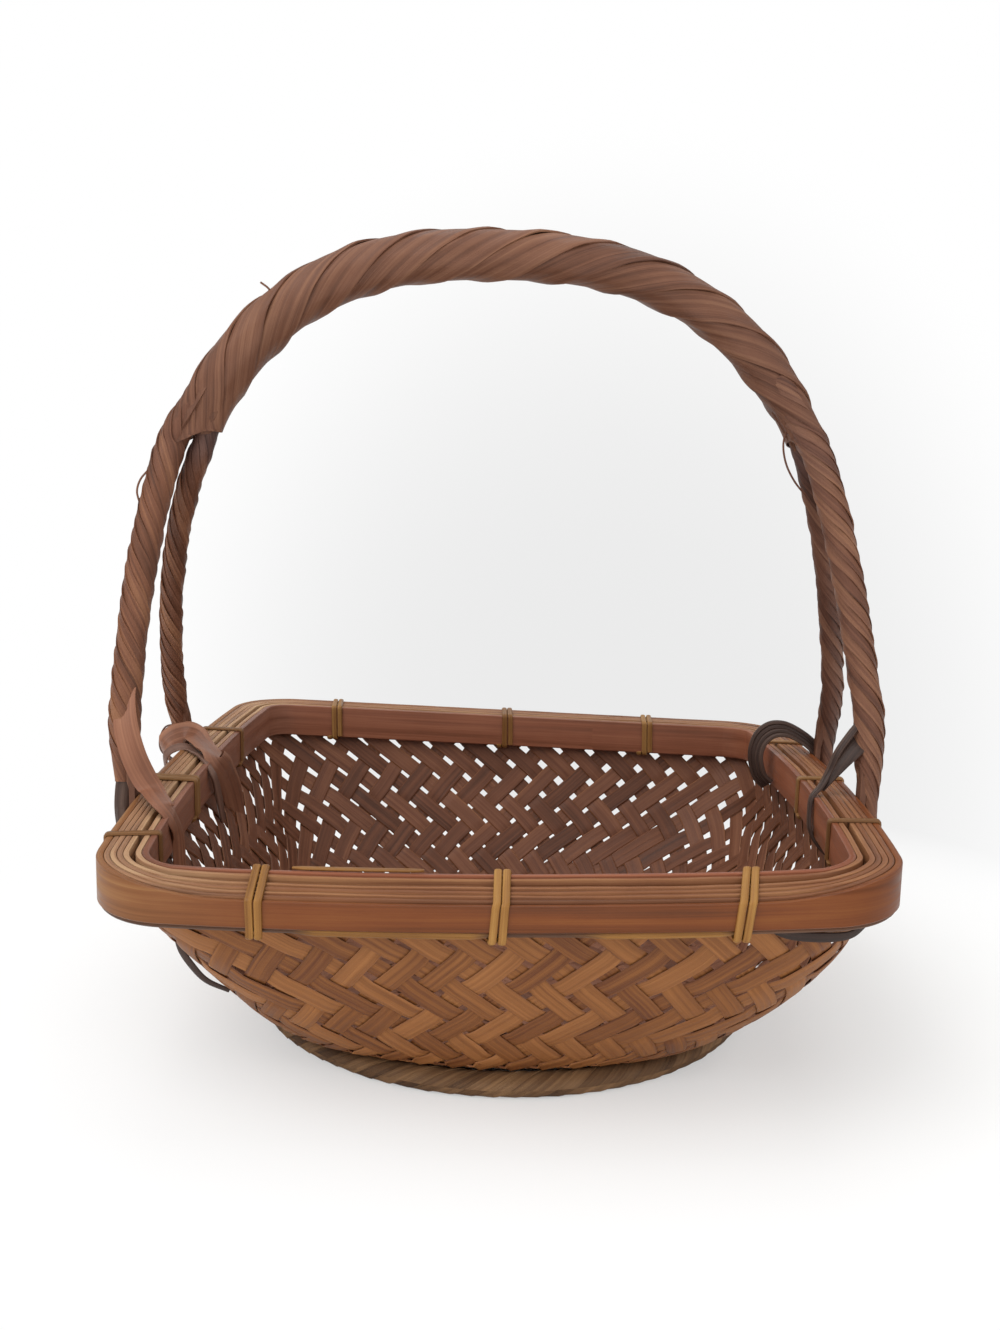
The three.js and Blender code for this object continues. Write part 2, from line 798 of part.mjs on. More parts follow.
function strandRing(strand, frame) {
  const { point, outward, deep } = frame;
  const towards = strand.sign > 0 ? 0 : Math.PI;
  const facing = splitAngleAt(point.x) - quarterTurn + towards;
  const ring = [];
  for (let i = 0; i < strandSides; i++) {
    const angle = (i / strandSides) * 2 * Math.PI;
    const packed = packedRadius(angle - facing, bundleRadiusAt(point.x));
    const above = mix(packed, strand.radius, partedAt(point.z));
    const radius = mix(above, flatRadius(angle), tailAt(point.z));
    ring.push(point
      .clone()
      .addScaledVector(outward, radius * Math.cos(angle))
      .addScaledVector(deep, radius * Math.sin(angle)));
  }
  return ring;
}

function addStrand(strand, curve) {
  const rings = [];
  for (let i = 0; i <= strandStations; i++) {
    rings.push(strandRing(strand, trackFrame(curve, i / strandStations)));
  }
  addPiece(`handle_core_${strand.name}`, bodyFromRings(rings), coreBamboo);
}

// Rings of a strip wound along a track: each ring lies at one angle round it and runs along it
function windingRings(curve, { from, to, startAngle, pitch, width, rowsPerTurn, radiusAt, thickness }) {
  const length = curve.getLength();
  const travel = to - from - width;
  const rows = Math.round((travel / pitch) * rowsPerTurn);
  const rings = [];
  for (let i = 0; i <= rows; i++) {
    const middle = from + width / 2 + (travel * i) / rows;
    const angle = startAngle + (2 * Math.PI * (middle - from)) / pitch;
    const pointAt = (sideways, lift) => {
      const frame = trackFrame(curve, (middle + (sideways * width) / 2) / length);
      const radius = radiusAt(frame.point) + lift;
      return frame.point
        .clone()
        .addScaledVector(frame.outward, radius * Math.cos(angle))
        .addScaledVector(frame.deep, radius * Math.sin(angle));
    };
    rings.push([
      pointAt(-1, windingGap),
      pointAt(0, windingGap),
      pointAt(1, windingGap),
      pointAt(1, windingGap + thickness),
      pointAt(0, windingGap + thickness),
      pointAt(-1, windingGap + thickness),
    ]);
  }
  return rings;
}

// Distance along a track at which it passes a height, on its left or right half
function distanceAtHeight(curve, height, side) {
  const length = curve.getLength();
  let low = side === 'left' ? 0 : 0.5;
  let high = side === 'left' ? 0.5 : 1;
  for (let i = 0; i < 30; i++) {
    const middle = (low + high) / 2;
    const isBelow = curve.getPointAt(middle).z < height;
    if (isBelow === (side === 'left')) low = middle;
    else high = middle;
  }
  return low * length;
}

function addArchWrap() {
  const points = [];
  const steps = 60;
  const first = 0.07;
  for (let i = 0; i <= steps; i++) points.push(archPoint(mix(first, Math.PI - first, i / steps)));
  const curve = new THREE.CatmullRomCurve3(points, false, 'centripetal');
  const from = distanceAtHeight(curve, splitHeight + partingLength, 'left');
  const to = distanceAtHeight(curve, splitHeight + partingLength, 'right');
  const width = archWrapPitch / archWrapStarts - wrapSeam;
  for (let i = 0; i < archWrapStarts; i++) {
    const rings = windingRings(curve, {
      from,
      to,
      startAngle: (i / archWrapStarts) * 2 * Math.PI,
      pitch: archWrapPitch,
      width,
      rowsPerTurn: archRowsPerTurn,
      radiusAt: (point) => bundleRadiusAt(point.x),
      thickness: bundleWrapThickness,
    });
    const name = `handle_wrap_${i + 1}`;
    reportGap(name, rings, archRowsPerTurn);
    addPiece(name, bodyFromRings(rings), handleBamboo);
  }
}

function addLegWraps(strand, curve) {
  for (const side of ['left', 'right']) {
    const top = distanceAtHeight(curve, splitHeight, side);
    const bottom = distanceAtHeight(curve, rimTopHeight + legWrapStop, side);
    for (let i = 0; i < legWrapStarts; i++) {
      const rings = windingRings(curve, {
        from: Math.min(top, bottom),
        to: Math.max(top, bottom),
        startAngle: (i / legWrapStarts) * 2 * Math.PI,
        pitch: legWrapPitch,
        width: legWrapPitch / legWrapStarts - wrapSeam,
        rowsPerTurn: legRowsPerTurn,
        radiusAt: () => strand.radius,
        thickness: legWrapThickness,
      });
      const name = `leg_wrap_${strand.name}_${side}_${i + 1}`;
      reportGap(name, rings, legRowsPerTurn);
      addPiece(name, bodyFromRings(rings), handleBamboo);
    }
  }
}

// Foot ring

function footPoint(around, angle, grow) {
  const flatToCorner = 1 / Math.cos(Math.PI / 8);
  const across = (footCoreHalfWidth + grow) * flatToCorner * Math.cos(angle);
  const height = (footCoreHalfHeight + grow) * flatToCorner * Math.sin(angle);
  const radius = footRadius + across;
  const x = footOffset.x + radius * Math.cos(around);
  const y = footOffset.y + radius * Math.sin(around);
  return new THREE.Vector3(x, y, footCentreHeight + height);
}

const footAngle = (step) => ((step + 0.5) / 8) * 2 * Math.PI;

function addFootRing() {
  const core = [];
  for (let i = 0; i < footSegments; i++) {
    const around = (i / footSegments) * 2 * Math.PI;
    core.push(Array.from({ length: 8 }, (_, step) => footPoint(around, footAngle(step), 0)));
  }
  addPiece('foot_ring_core', bodyFromRings(core, true), coreBamboo);

  const rowsPerLoop = 8;
  const rows = footWrapLoops * rowsPerLoop - 1;
  const wound = [];
  const halfSpan = footWrapWidth / footRadius / 2;
  const turnPerRow = (2 * Math.PI - halfSpan * 2 - wrapSeam / footRadius) / rows;
  for (let i = 0; i <= rows; i++) {
    const middle = turnPerRow * i;
    const angle = footAngle(i);
    const pointAt = (sideways, grow) => footPoint(middle + sideways * halfSpan, angle, grow);
    const outer = windingGap + footWrapThickness;
    wound.push([
      pointAt(-1, windingGap),
      pointAt(0, windingGap),
      pointAt(1, windingGap),
      pointAt(1, outer),
      pointAt(0, outer),
      pointAt(-1, outer),
    ]);
  }
  reportGap('foot_ring_wrap', wound, rowsPerLoop);
  const floorSize = 4 * footRadius;
  const floor = new THREE.BoxGeometry(floorSize, floorSize, floorSize);
  floor.translate(0, 0, -floorSize / 2);
  const standing = toSolid(bodyFromRings(wound)).subtract(toSolid(floor));
  addPiece('foot_ring_wrap', toGeometry(standing), footBamboo);
}

// Ties that hold the legs to the rim

const tailOuterInset = -(tailRimClearance + tailThickness);

// Outer corners of a pass that crosses over a leg's tail from one side of it to the other
function crossingPass(place, from, to) {
  return [
    { inset: rimDepth, z: place.bottom, along: from },
    { inset: underStripFar, z: place.underBottom, along: from },
    { inset: 0, z: place.underBottom, along: from },
    { inset: tailOuterInset, z: place.bottom + rimHeight / 16, along: from },
    { inset: tailOuterInset, z: place.outerTop - rimHeight / 8, along: to },
    { inset: 0, z: place.outerTop, along: to },
    { inset: rimDepth, z: place.innerTop, along: to },
  ];
}

function addTie(name, place, corners, width, thickness, finish) {
  const rings = stripRings(place, corners, width, thickness);
  addPiece(name, bodyFromRings(rings), finish);
  corners.forEach((corner, i) => {
    const next = corners[i + 1];
    if (corner.inset !== rimDepth || next?.inset !== underStripFar) return;
    const drift = Math.abs(next.along - corner.along);
    noteSlot(place, (corner.along + next.along) / 2, width + drift, thickness);
  });
}

// Broad strap from the front left leg, over the rim and round behind the leg's tail
function addFrontLeftTie() {
  const beside = (tailWidth + strapWidth) / 2 + tieTailClearance;
  const place = rimPlace('left', frontLegAt.left);
  const corners = [
    { inset: 2 * fitGap, z: place.innerTop + strapRise, along: 0 },
    { inset: strapLanding.inset, z: place.innerTop + strapLanding.rise, along: beside / 3 },
    { inset: rimDepth, z: place.innerTop, along: beside },
    ...crossingPass(place, beside, -beside),
    { inset: rimDepth, z: place.bottom, along: -beside },
  ];
  addTie('tie_front_left', place, corners, strapWidth, tieThickness, stripBamboo);
}

// Broad double coil beside the rear left leg, ending in a band that hangs inside the bowl
function addRearLeftTie() {
  const beside = (tailWidth + bandWidth) / 2 + tieTailClearance;
  const second = -beside - bandWidth - bandGap;
  const place = rimPlace('left', rearLegAt.left);
  const bandEnd = mix(wallStart, rimBottom, bandReach);
  const wallInset = Math.abs(place.point.x) - wallReach('left', bandEnd, rearLegAt.left) + weaveThickness;
  const corners = [
    ...crossingPass(place, beside, -beside),
    ...rimPass(place, (share) => mix(-beside, second, share)),
    { inset: rimDepth, z: place.bottom, along: second },
    { inset: wallInset + bandGap, z: bandEnd, along: second },
  ];
  addTie('tie_rear_left', place, corners, bandWidth, tieThickness, stripBamboo);
}

// Narrow dark loops that stand up over the rim beside the rear right leg
function addRearRightTie() {
  const beside = (tailWidth + loopWidth) / 2 + tieTailClearance;
  const place = rimPlace('right', rearLegAt.right);
  const corners = [...crossingPass(place, beside, -beside)];
  for (let turn = 0; turn < 2; turn++) {
    const alongAt = (share) => -beside - loopPitch * (turn + share);
    const loop = rimPass(place, alongAt);
    loop.splice(4, 0, { inset: rimDepth * 0.45, z: place.outerTop + loopRise, along: alongAt(0.7) });
    corners.push(...loop);
  }
  corners.push({ inset: rimDepth, z: place.bottom, along: -beside - loopPitch * 2 });
  addTie('tie_rear_right', place, corners, loopWidth, narrowTieThickness, darkBamboo);
}

// Narrow double tie beside the front right leg
function addFrontRightTie() {
  const beside = (tailWidth + doubleWidth) / 2 + tieTailClearance;
  const place = rimPlace('right', frontLegAt.right);
  const corners = [
    ...crossingPass(place, -beside, beside),
    ...rimPass(place, (share) => beside + doublePitch * share),
    { inset: rimDepth, z: place.bottom, along: beside + doublePitch },
  ];
  addTie('tie_front_right', place, corners, doubleWidth, narrowTieThickness, darkBamboo);
}

// Cuts the slots that the lashings use in the weave below the rim
function cutWallSlots(geometry) {
  let solid = toSolid(geometry);
  for (const { place, along, width, level, thickness } of wallSlots) {
    const depth = weaveThickness + 8 * slotMargin;
    const height = lashingGap + thickness + 3 * slotMargin;
    const box = new THREE.BoxGeometry(width + 2 * slotMargin, depth, height);
    const middle = place.point.clone();
    middle.addScaledVector(place.outward, -(wallLayer.near + wallLayer.far) / 2);
    middle.addScaledVector(place.along, along);
    middle.z = level - (lashingGap + thickness) / 2;
    const turn = new THREE.Matrix4().makeBasis(place.along, place.outward, up);
    if (turn.determinant() < 0) turn.makeBasis(place.along, place.outward.clone().negate(), up);
    box.applyMatrix4(turn);
    box.translate(middle.x, middle.y, middle.z);
    solid = solid.subtract(toSolid(box));
  }
  return toGeometry(solid);
}

addFootRing();
addRim();
bindings.forEach(addBinding);
for (const strand of [front, rear]) {
  const curve = strandTrack(strand);
  curve.arcLengthDivisions = 1200;
  addStrand(strand, curve);
  addLegWraps(strand, curve);
}
addArchWrap();
addFrontLeftTie();
addRearLeftTie();
addRearRightTie();
addFrontRightTie();
addPiece('woven_bowl', cutWallSlots(bowlGeometry()), wovenBamboo);

// The origin lies under the middle of the whole part
const extent = new THREE.Box3().setFromObject(group);
const middle = extent.getCenter(new THREE.Vector3());
for (const piece of group.children) piece.geometry.translate(-middle.x, -middle.y, 0);

export default group;
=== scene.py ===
import math
import bpy
import numpy as np
from mathutils import Matrix, Vector


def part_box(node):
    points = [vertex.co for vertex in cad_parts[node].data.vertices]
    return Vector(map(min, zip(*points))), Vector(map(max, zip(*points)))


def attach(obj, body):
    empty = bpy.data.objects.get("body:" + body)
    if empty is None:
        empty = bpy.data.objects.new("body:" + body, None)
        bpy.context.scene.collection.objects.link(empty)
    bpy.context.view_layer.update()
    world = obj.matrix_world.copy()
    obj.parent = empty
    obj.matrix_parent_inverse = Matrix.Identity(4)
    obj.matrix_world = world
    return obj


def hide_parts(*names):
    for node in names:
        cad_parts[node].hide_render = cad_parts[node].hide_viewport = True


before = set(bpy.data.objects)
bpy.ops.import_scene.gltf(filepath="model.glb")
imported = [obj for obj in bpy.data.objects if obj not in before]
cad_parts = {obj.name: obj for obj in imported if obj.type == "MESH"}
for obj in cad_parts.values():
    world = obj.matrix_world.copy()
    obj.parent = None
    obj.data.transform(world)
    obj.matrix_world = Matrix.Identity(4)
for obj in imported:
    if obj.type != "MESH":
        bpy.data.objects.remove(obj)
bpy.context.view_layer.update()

MM = 0.001
pi = math.pi

# The rim's middle lies a little to the right of the origin
low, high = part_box("rim_outer_band")
MIDDLE = (low[0] + high[0]) / 2 / MM
TO_MIDDLE = np.array([MIDDLE, 0, 0])

# Sizes that the solids have, in millimetres
RIM_HALF, RIM_CORNER, RIM_BOW = 154.0, 33.0, 1450.0
RIM_BOTTOM, RIM_HEIGHT = 84.5, 16.5
BAND, STRIP, GAP, WEAVE = 2.6, 2.0, 0.3, 1.8
TWIST, SADDLE, SLUMP = 3.9, 1.5, 6.5
SLUMP_START, SLUMP_END = 0.63 * RIM_HALF, 0.95 * RIM_HALF
FOOT_RADIUS, FOOT_CENTRE, FOOT_X, FOOT_Y = 105.5, 4.15, 1.9, -2.7
BASE_HEIGHT, BASE_HALF, BASE_RISE = 9.1, 108.0, 1.5
BASE_CORNER, BASE_BOW = 66.5, 180.0
SWELL, LEAN, TIGHTENING = 1.29, 4.5, 0.76
STRIPS_PER_WAY, LOWEST_SLOPE, SLOPE_RISE = 58, 0.5, 10.0
ARCH, SPRING, POWER, APEX_SHIFT, SHOULDER = 330.0, 110.0, 2.5, -7.0, 7.0
BUNDLE_LEFT, BUNDLE_RIGHT = 9.2, 7.8
SPLIT_LEFT, SPLIT_RIGHT, SPLIT_HEIGHT, PARTING = 80.0, 15.0, 245.0, 20.0
WINDING_GAP, WINDING_THICK = 0.75, 1.2
FRONT = {"name": "front", "sign": 1, "radius": 4.8, "left": -50.05, "right": -28.03}
REAR = {"name": "rear", "sign": -1, "radius": 3.5, "left": 46.2, "right": 60.06}
WALL_START, WALL_END = BASE_HEIGHT + BASE_RISE, RIM_BOTTOM - GAP

LAYERS = []
inset = 0.0
for layer, thick in [("rim_outer_band", BAND), ("rim_strip_1", STRIP), ("rim_strip_2", STRIP),
                     ("rim_strip_3", STRIP), ("rim_strip_4", STRIP), ("wall", WEAVE),
                     ("rim_strip_5", STRIP), ("rim_inner_band", BAND)]:
    LAYERS.append((layer, inset, inset + thick))
    inset += thick + GAP
RIM_DEPTH = inset - GAP
WALL_NEAR = next(near for layer, near, far in LAYERS if layer == "wall")


# Small helpers

def ease(start, end, value):
    share = np.clip((value - start) / (end - start), 0, 1)
    return share * share * (3 - 2 * share)


def mix(a, b, share):
    return a + (b - a) * share


def unit(v):
    return v / np.maximum(np.linalg.norm(v, axis=-1, keepdims=True), 1e-9)


def distances(points):
    """How far along a line each of its points lies."""
    return np.concatenate([[0], np.cumsum(np.linalg.norm(np.diff(points, axis=0), axis=1))])


def ripple(seed, s, *lengths):
    """Smooth noise of about -1 to 1 along a distance s, from a few waves of those lengths."""
    random = np.random.default_rng(int(seed * 1000))
    total = 0.0
    for length in lengths:
        total = total + np.sin(2 * pi * s / length + random.uniform(0, 2 * pi)) * random.uniform(0.6, 1)
    return total / len(lengths)


def add_object(name, data):
    obj = bpy.data.objects.new(name, data)
    bpy.context.scene.collection.objects.link(obj)
    return obj


class Stack:
    """Collects strips made of section rings into one mesh. Each point carries the fibre's coordinates:
    how far it lies along the strip, how far across it, and the strip's own number. Its shade says
    how far it takes the material's second colouring."""

    def __init__(self):
        self.points, self.faces, self.fibre, self.shade, self.count = [], [], [], [], 0

    def add(self, rings, along, across, seed, shade=0.0):
        n, m = rings.shape[:2]
        ids = self.count + np.arange(n * m).reshape(n, m)
        a, b = ids[:-1], ids[1:]
        quads = np.stack([a, np.roll(a, -1, 1), np.roll(b, -1, 1), b], -1).reshape(-1, 4)
        flat = rings.reshape(-1, 3)
        p = flat - flat.mean(0)
        q = quads - self.count
        volume = sum((p[q[:, 0]] * np.cross(p[q[:, i]], p[q[:, i + 1]])).sum() for i in (1, 2))
        caps = [ids[0, ::-1].tolist(), ids[-1].tolist()]
        faces = quads.tolist() + caps
        if volume < 0:
            faces = [face[::-1] for face in faces]
        self.faces += faces
        self.points.append(flat)
        fibre = np.zeros((n, m, 3))
        fibre[..., 0] = np.broadcast_to(along.reshape(n, -1), (n, m)) * MM
        fibre[..., 1] = np.broadcast_to(across, (n, m)) * MM
        fibre[..., 2] = seed
        self.fibre.append(fibre.reshape(-1, 3))
        self.shade.append(np.broadcast_to(shade, (n, m)).ravel())
        self.count += n * m

    def build(self, name, material):
        """Makes the piece, which stands in for the solid of the same name where there is one."""
        mesh = bpy.data.meshes.new("visual_" + name)
        mesh.from_pydata((np.concatenate(self.points) * MM).tolist(), [], self.faces)
        mesh.update()
        layer = mesh.attributes.new("fibre", "FLOAT_VECTOR", "POINT")
        layer.data.foreach_set("vector", np.concatenate(self.fibre).astype(np.float32).ravel())
        layer = mesh.attributes.new("shade", "FLOAT", "POINT")
        layer.data.foreach_set("value", np.concatenate(self.shade).astype(np.float32))
        mesh.shade_smooth()
        mesh.set_sharp_from_angle(angle=math.radians(35))
        mesh.materials.append(material)
        obj = add_object("visual_" + name, mesh)
        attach(obj, "root")
        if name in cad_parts:
            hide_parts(name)


# Sections of strips, sideways and upwards as shares of width and thickness: split flat, and rounded
SIDEWAYS = np.array([-0.5, -0.44, -0.2, 0.2, 0.44, 0.5, 0.44, -0.44])
UPWARDS = np.array([0.0, 0.36, 0.5, 0.5, 0.36, 0.0, -0.5, -0.5])
ROUNDED = np.array([-0.3, 0.22, 0.5, 0.5, 0.22, -0.3, -0.5, -0.5])
# Where a section faces down; the weave takes its painted shade for the inside of the bowl from this
UNDERSIDE = np.array([0.5, 0, 0, 0, 0, 0.5, 1, 1])


def tape(stack, path, normal, width, thick, seed, start=0.0, rounded=False, shade=0.0):
    """A flat strip along a path, whose face looks along the normals."""
    tangent = unit(np.gradient(path, axis=0))
    side = unit(np.cross(tangent, normal))
    face = unit(np.cross(side, tangent))
    across = SIDEWAYS * np.broadcast_to(width, len(path))[:, None]
    upwards = (ROUNDED if rounded else UPWARDS) * thick
    rings = path[:, None] + side[:, None] * across[..., None] + face[:, None] * upwards[:, None]
    stack.add(rings, start + distances(path), across, seed, shade)


def smooth_line(points, per):
    """A centripetal Catmull-Rom line through points, as the solids' own tracks have."""
    p = np.asarray(points, float)
    p = np.vstack([2 * p[0] - p[1], p, 2 * p[-1] - p[-2]])
    out = []
    for i in range(1, len(p) - 2):
        x0, x1, x2, x3 = p[i - 1:i + 3]
        d0, d1, d2 = (max(np.linalg.norm((b - a)[:3]) ** 0.5, 1e-4)
                      for a, b in ((x0, x1), (x1, x2), (x2, x3)))
        t1 = ((x1 - x0) / d0 - (x2 - x0) / (d0 + d1) + (x2 - x1) / d1) * d1
        t2 = ((x2 - x1) / d1 - (x3 - x1) / (d1 + d2) + (x3 - x2) / d2) * d1
        last = i == len(p) - 3
        for t in np.linspace(0, 1, per + last, endpoint=last):
            out.append(x1 + t1 * t + (-3 * x1 + 3 * x2 - 2 * t1 - t2) * t ** 2
                       + (2 * x1 - 2 * x2 + t1 + t2) * t ** 3)
    return np.array(out)


# Materials

def new_material(name):
    material = bpy.data.materials.new(name)
    material.use_nodes = True
    material.node_tree.nodes.clear()
    return material, material.node_tree


def add_node(tree, kind, inputs, **settings):
    """A new shader node. Each input is given a value, or another node's output to link to."""
    node = tree.nodes.new("ShaderNode" + kind)
    for name, value in settings.items():
        setattr(node, name, value)
    for place, value in inputs.items():
        if isinstance(value, bpy.types.NodeSocket):
            tree.links.new(value, node.inputs[place])
        else:
            node.inputs[place].default_value = value
    return node


def calculate(tree, operation, *values):
    return add_node(tree, "Math", dict(enumerate(values)), operation=operation).outputs[0]


def linear(rgb):
    return tuple(c / 12.92 if c <= 0.04045 else ((c + 0.055) / 1.055) ** 2.4
                 for c in (v / 255 for v in rgb))


def coloured(tree, level, colours):
    """Turns a level from 0 to 1 into a colour between a dark, a middle and a light one."""
    node = add_node(tree, "ValToRGB", {0: level})
    elements = node.color_ramp.elements
    elements.new(0.5)
    for element, place, rgb in zip(elements, (0, 0.5, 1), colours):
        element.position = place
        element.color = (*linear(rgb), 1)
    return node.outputs[0]


def bamboo(name, colours, other=None, rough=0.5, fine=1.0, bump=0.4, patch=0.5, tone=0.25,
           upright=False):
    """Split bamboo: fibres run along the strip, each strip has its own tone, and age darkens it in
    patches. The colours go from dark to light; the others are used where the shade is 1. Upright
    bamboo takes its fibres from the object's height, because it has no strips."""
    spread, fine_share = 0.17, 0.45
    material, tree = new_material(name)
    fibre = add_node(tree, "Attribute", {}, attribute_name="fibre").outputs["Vector"]
    strip = add_node(tree, "SeparateXYZ", {0: fibre}).outputs[2]
    place = add_node(tree, "TexCoord", {}).outputs["Object"]

    def stretched(along, across, detail, roughness, distortion):
        scale = (across, across, along) if upright else (along, across, 7.31)
        scaled = add_node(tree, "VectorMath", {0: place if upright else fibre, 1: scale},
                          operation="MULTIPLY").outputs[0]
        return add_node(tree, "TexNoise", {"Vector": scaled, "Scale": 1.0, "Detail": detail,
                                           "Roughness": roughness,
                                           "Distortion": distortion}).outputs["Fac"]

    fine_lines = stretched(14, 2600 * fine, 3.0, 0.6, 0.0)
    broad_lines = stretched(9, 520 * fine, 2.0, 0.5, 0.2)
    own = add_node(tree, "TexWhiteNoise", {"W": strip}, noise_dimensions="1D").outputs["Value"]
    patches = add_node(tree, "TexNoise", {"Vector": place, "Scale": 28, "Detail": 4}).outputs["Fac"]
    level = broad_lines
    for part, factor in ((fine_lines, fine_share), (own, tone), (patches, patch)):
        level = calculate(tree, "MULTIPLY_ADD", part, factor, level)
    total = 1 + fine_share + tone + patch
    level = add_node(tree, "MapRange", {"Value": level, "From Min": total * (0.5 - spread),
                                        "From Max": total * (0.5 + spread)}).outputs[0]
    colour = coloured(tree, level, colours)
    if other:
        shade = add_node(tree, "Attribute", {}, attribute_name="shade").outputs["Fac"]
        colour = add_node(tree, "Mix", {"Factor": shade, "A": colour, "B": coloured(tree, level, other)},
                          data_type="RGBA").outputs["Result"]
    gloss = add_node(tree, "MapRange", {"Value": broad_lines, "From Min": 0.3, "From Max": 0.7,
                                        "To Min": rough - 0.1, "To Max": rough + 0.15})
    height = calculate(tree, "MULTIPLY_ADD", fine_lines, 0.5, broad_lines)
    relief = add_node(tree, "Bump", {"Strength": bump, "Distance": 0.0006, "Height": height})
    shader = add_node(tree, "BsdfPrincipled", {"Base Color": colour, "Roughness": gloss.outputs[0],
                                               "Normal": relief.outputs[0],
                                               "Specular IOR Level": 0.22})
    add_node(tree, "OutputMaterial", {0: shader.outputs[0]})
    return material


smooth = {"rough": 0.42, "bump": 0.2, "tone": 0.05, "patch": 0.35, "fine": 0.7}
# The rim materials' second colours are paler and greyer: painted highlight for the rim's left and back
rim_band = bamboo("rim_band", [(86, 44, 16), (110, 58, 25), (128, 76, 36)],
                  [(105, 68, 37), (132, 89, 55), (154, 116, 75)], **smooth)
rim_inner = bamboo("rim_inner", [(105, 60, 37), (130, 74, 49), (148, 91, 62)],
                   [(99, 61, 45), (122, 80, 62), (141, 99, 79)], **smooth)
rim_edge = bamboo("rim_edge", [(86, 52, 33), (125, 79, 50), (152, 108, 72)],
                  [(107, 80, 62), (156, 117, 87), (188, 157, 121)], rough=0.52, tone=0.3, bump=0.35)
# The weave's second colours are darker: painted shade for the inside of the bowl
weave_strip = bamboo("weave_strip", [(99, 56, 31), (134, 85, 46), (159, 106, 62)],
                     [(78, 47, 32), (107, 67, 48), (129, 86, 63)], fine=1.1, tone=0.38, patch=0.35)
# The handle's second colours are darker: painted shade for its right side
handle_strip = bamboo("handle_strip", [(73, 45, 33), (110, 73, 55), (137, 98, 75)],
                      [(57, 34, 25), (88, 56, 43), (110, 77, 59)], rough=0.48, tone=0.2,
                      patch=0.45, bump=0.6)
# The legs' second colours are darker and bluer: painted shade
leg_strip = bamboo("leg_strip", [(72, 43, 28), (112, 71, 51), (143, 99, 70)],
                   [(55, 38, 34), (82, 58, 52), (107, 79, 70)], tone=0.45, bump=0.6)
core_strip = bamboo("core_strip", [(50, 38, 32), (84, 64, 54), (112, 90, 76)], rough=0.6,
                    upright=True)
handle_split = bamboo("handle_split", [(73, 45, 33), (100, 66, 50), (120, 84, 64)], rough=0.55,
                      upright=True)
dark_strip = bamboo("dark_strip", [(38, 28, 24), (62, 46, 40), (92, 72, 62)], rough=0.42, tone=0.3)
tie_strip = bamboo("tie_strip", [(94, 59, 43), (129, 85, 64), (152, 106, 81)],
                   [(70, 50, 43), (104, 76, 64), (130, 100, 86)], rough=0.45, tone=0.1, patch=0.4,
                   bump=0.3)
foot_strip = bamboo("foot_strip", [(65, 45, 31), (103, 75, 51), (138, 105, 73)], rough=0.6, tone=0.7,
                    bump=0.6)
rattan_strip = bamboo("rattan_strip", [(103, 63, 24), (144, 100, 48), (176, 135, 74)],
                      [(62, 42, 30), (92, 62, 44), (116, 82, 60)], rough=0.45, tone=0.3, bump=0.35)


# Plan curves of the rim and the bowl

def spread_of(half, corner, bow):
    return np.arccos((bow - half) / ((bow - corner) * math.sqrt(2))) - pi / 4


def ring_radius(half, corner, bow, angle):
    """Distance from the middle to a rounded square with bowed sides, in a direction."""
    folded = np.abs((angle + pi / 4) % (pi / 2) - pi / 4)
    spread = spread_of(half, corner, bow)
    centre = half - bow
    joint = np.arctan2(bow * np.sin(spread), centre + bow * np.cos(spread))
    side = centre * np.cos(folded) + np.sqrt((centre * np.cos(folded)) ** 2 - centre ** 2 + bow ** 2)
    middle = (bow - corner) * np.sin(spread)
    towards = middle * (np.cos(folded) + np.sin(folded))
    round_corner = towards + np.sqrt(np.maximum(towards ** 2 - 2 * middle ** 2 + corner ** 2, 0))
    return np.where(folded <= joint, side, round_corner)


def warp(x, y):
    return (SADDLE * (x * x - y * y) - TWIST * x * y) / RIM_HALF ** 2


def rim_top(x, y, depth):
    sagging = np.where(y < 0, 1 - ease(SLUMP_START, SLUMP_END, np.abs(x)), 0)
    sag = SLUMP * sagging * np.clip(1 - depth / RIM_DEPTH, 0, 1) * ease(0, RIM_HALF / 2, -y)
    return RIM_BOTTOM + RIM_HEIGHT - sag + warp(x, y)


def rim_stations():
    """Places round the rim: outer point and outward direction."""
    side_steps, corner_steps = 30, 16
    spread = float(spread_of(RIM_HALF, RIM_CORNER, RIM_BOW))
    points, outwards = [], []
    for quarter in range(4):
        turn = quarter * pi / 2
        local = [mix(-spread, spread, i / side_steps) for i in range(side_steps)]
        centre = np.array([RIM_HALF - RIM_BOW, 0.0])
        arcs = [(centre, RIM_BOW, angle) for angle in local]
        corner = centre + (RIM_BOW - RIM_CORNER) * np.array([math.cos(spread), math.sin(spread)])
        for i in range(corner_steps):
            arcs.append((corner, RIM_CORNER, mix(spread, pi / 2 - spread, i / corner_steps)))
        rotation = np.array([[math.cos(turn), -math.sin(turn)], [math.sin(turn), math.cos(turn)]])
        for middle, radius, angle in arcs:
            out = np.array([math.cos(angle), math.sin(angle)])
            points.append(rotation @ (middle + radius * out))
            outwards.append(rotation @ out)
    return np.array(points), np.array(outwards)


RIM_POINTS, RIM_OUT = rim_stations()
SEAM = int(len(RIM_POINTS) * 0.30)


def at_rim(points, outwards, depth, z):
    """Points at a depth inside the rim's outer face and a height."""
    flat = points - outwards * depth[:, None]
    return np.stack([flat[:, 0] + MIDDLE, flat[:, 1], z], -1)


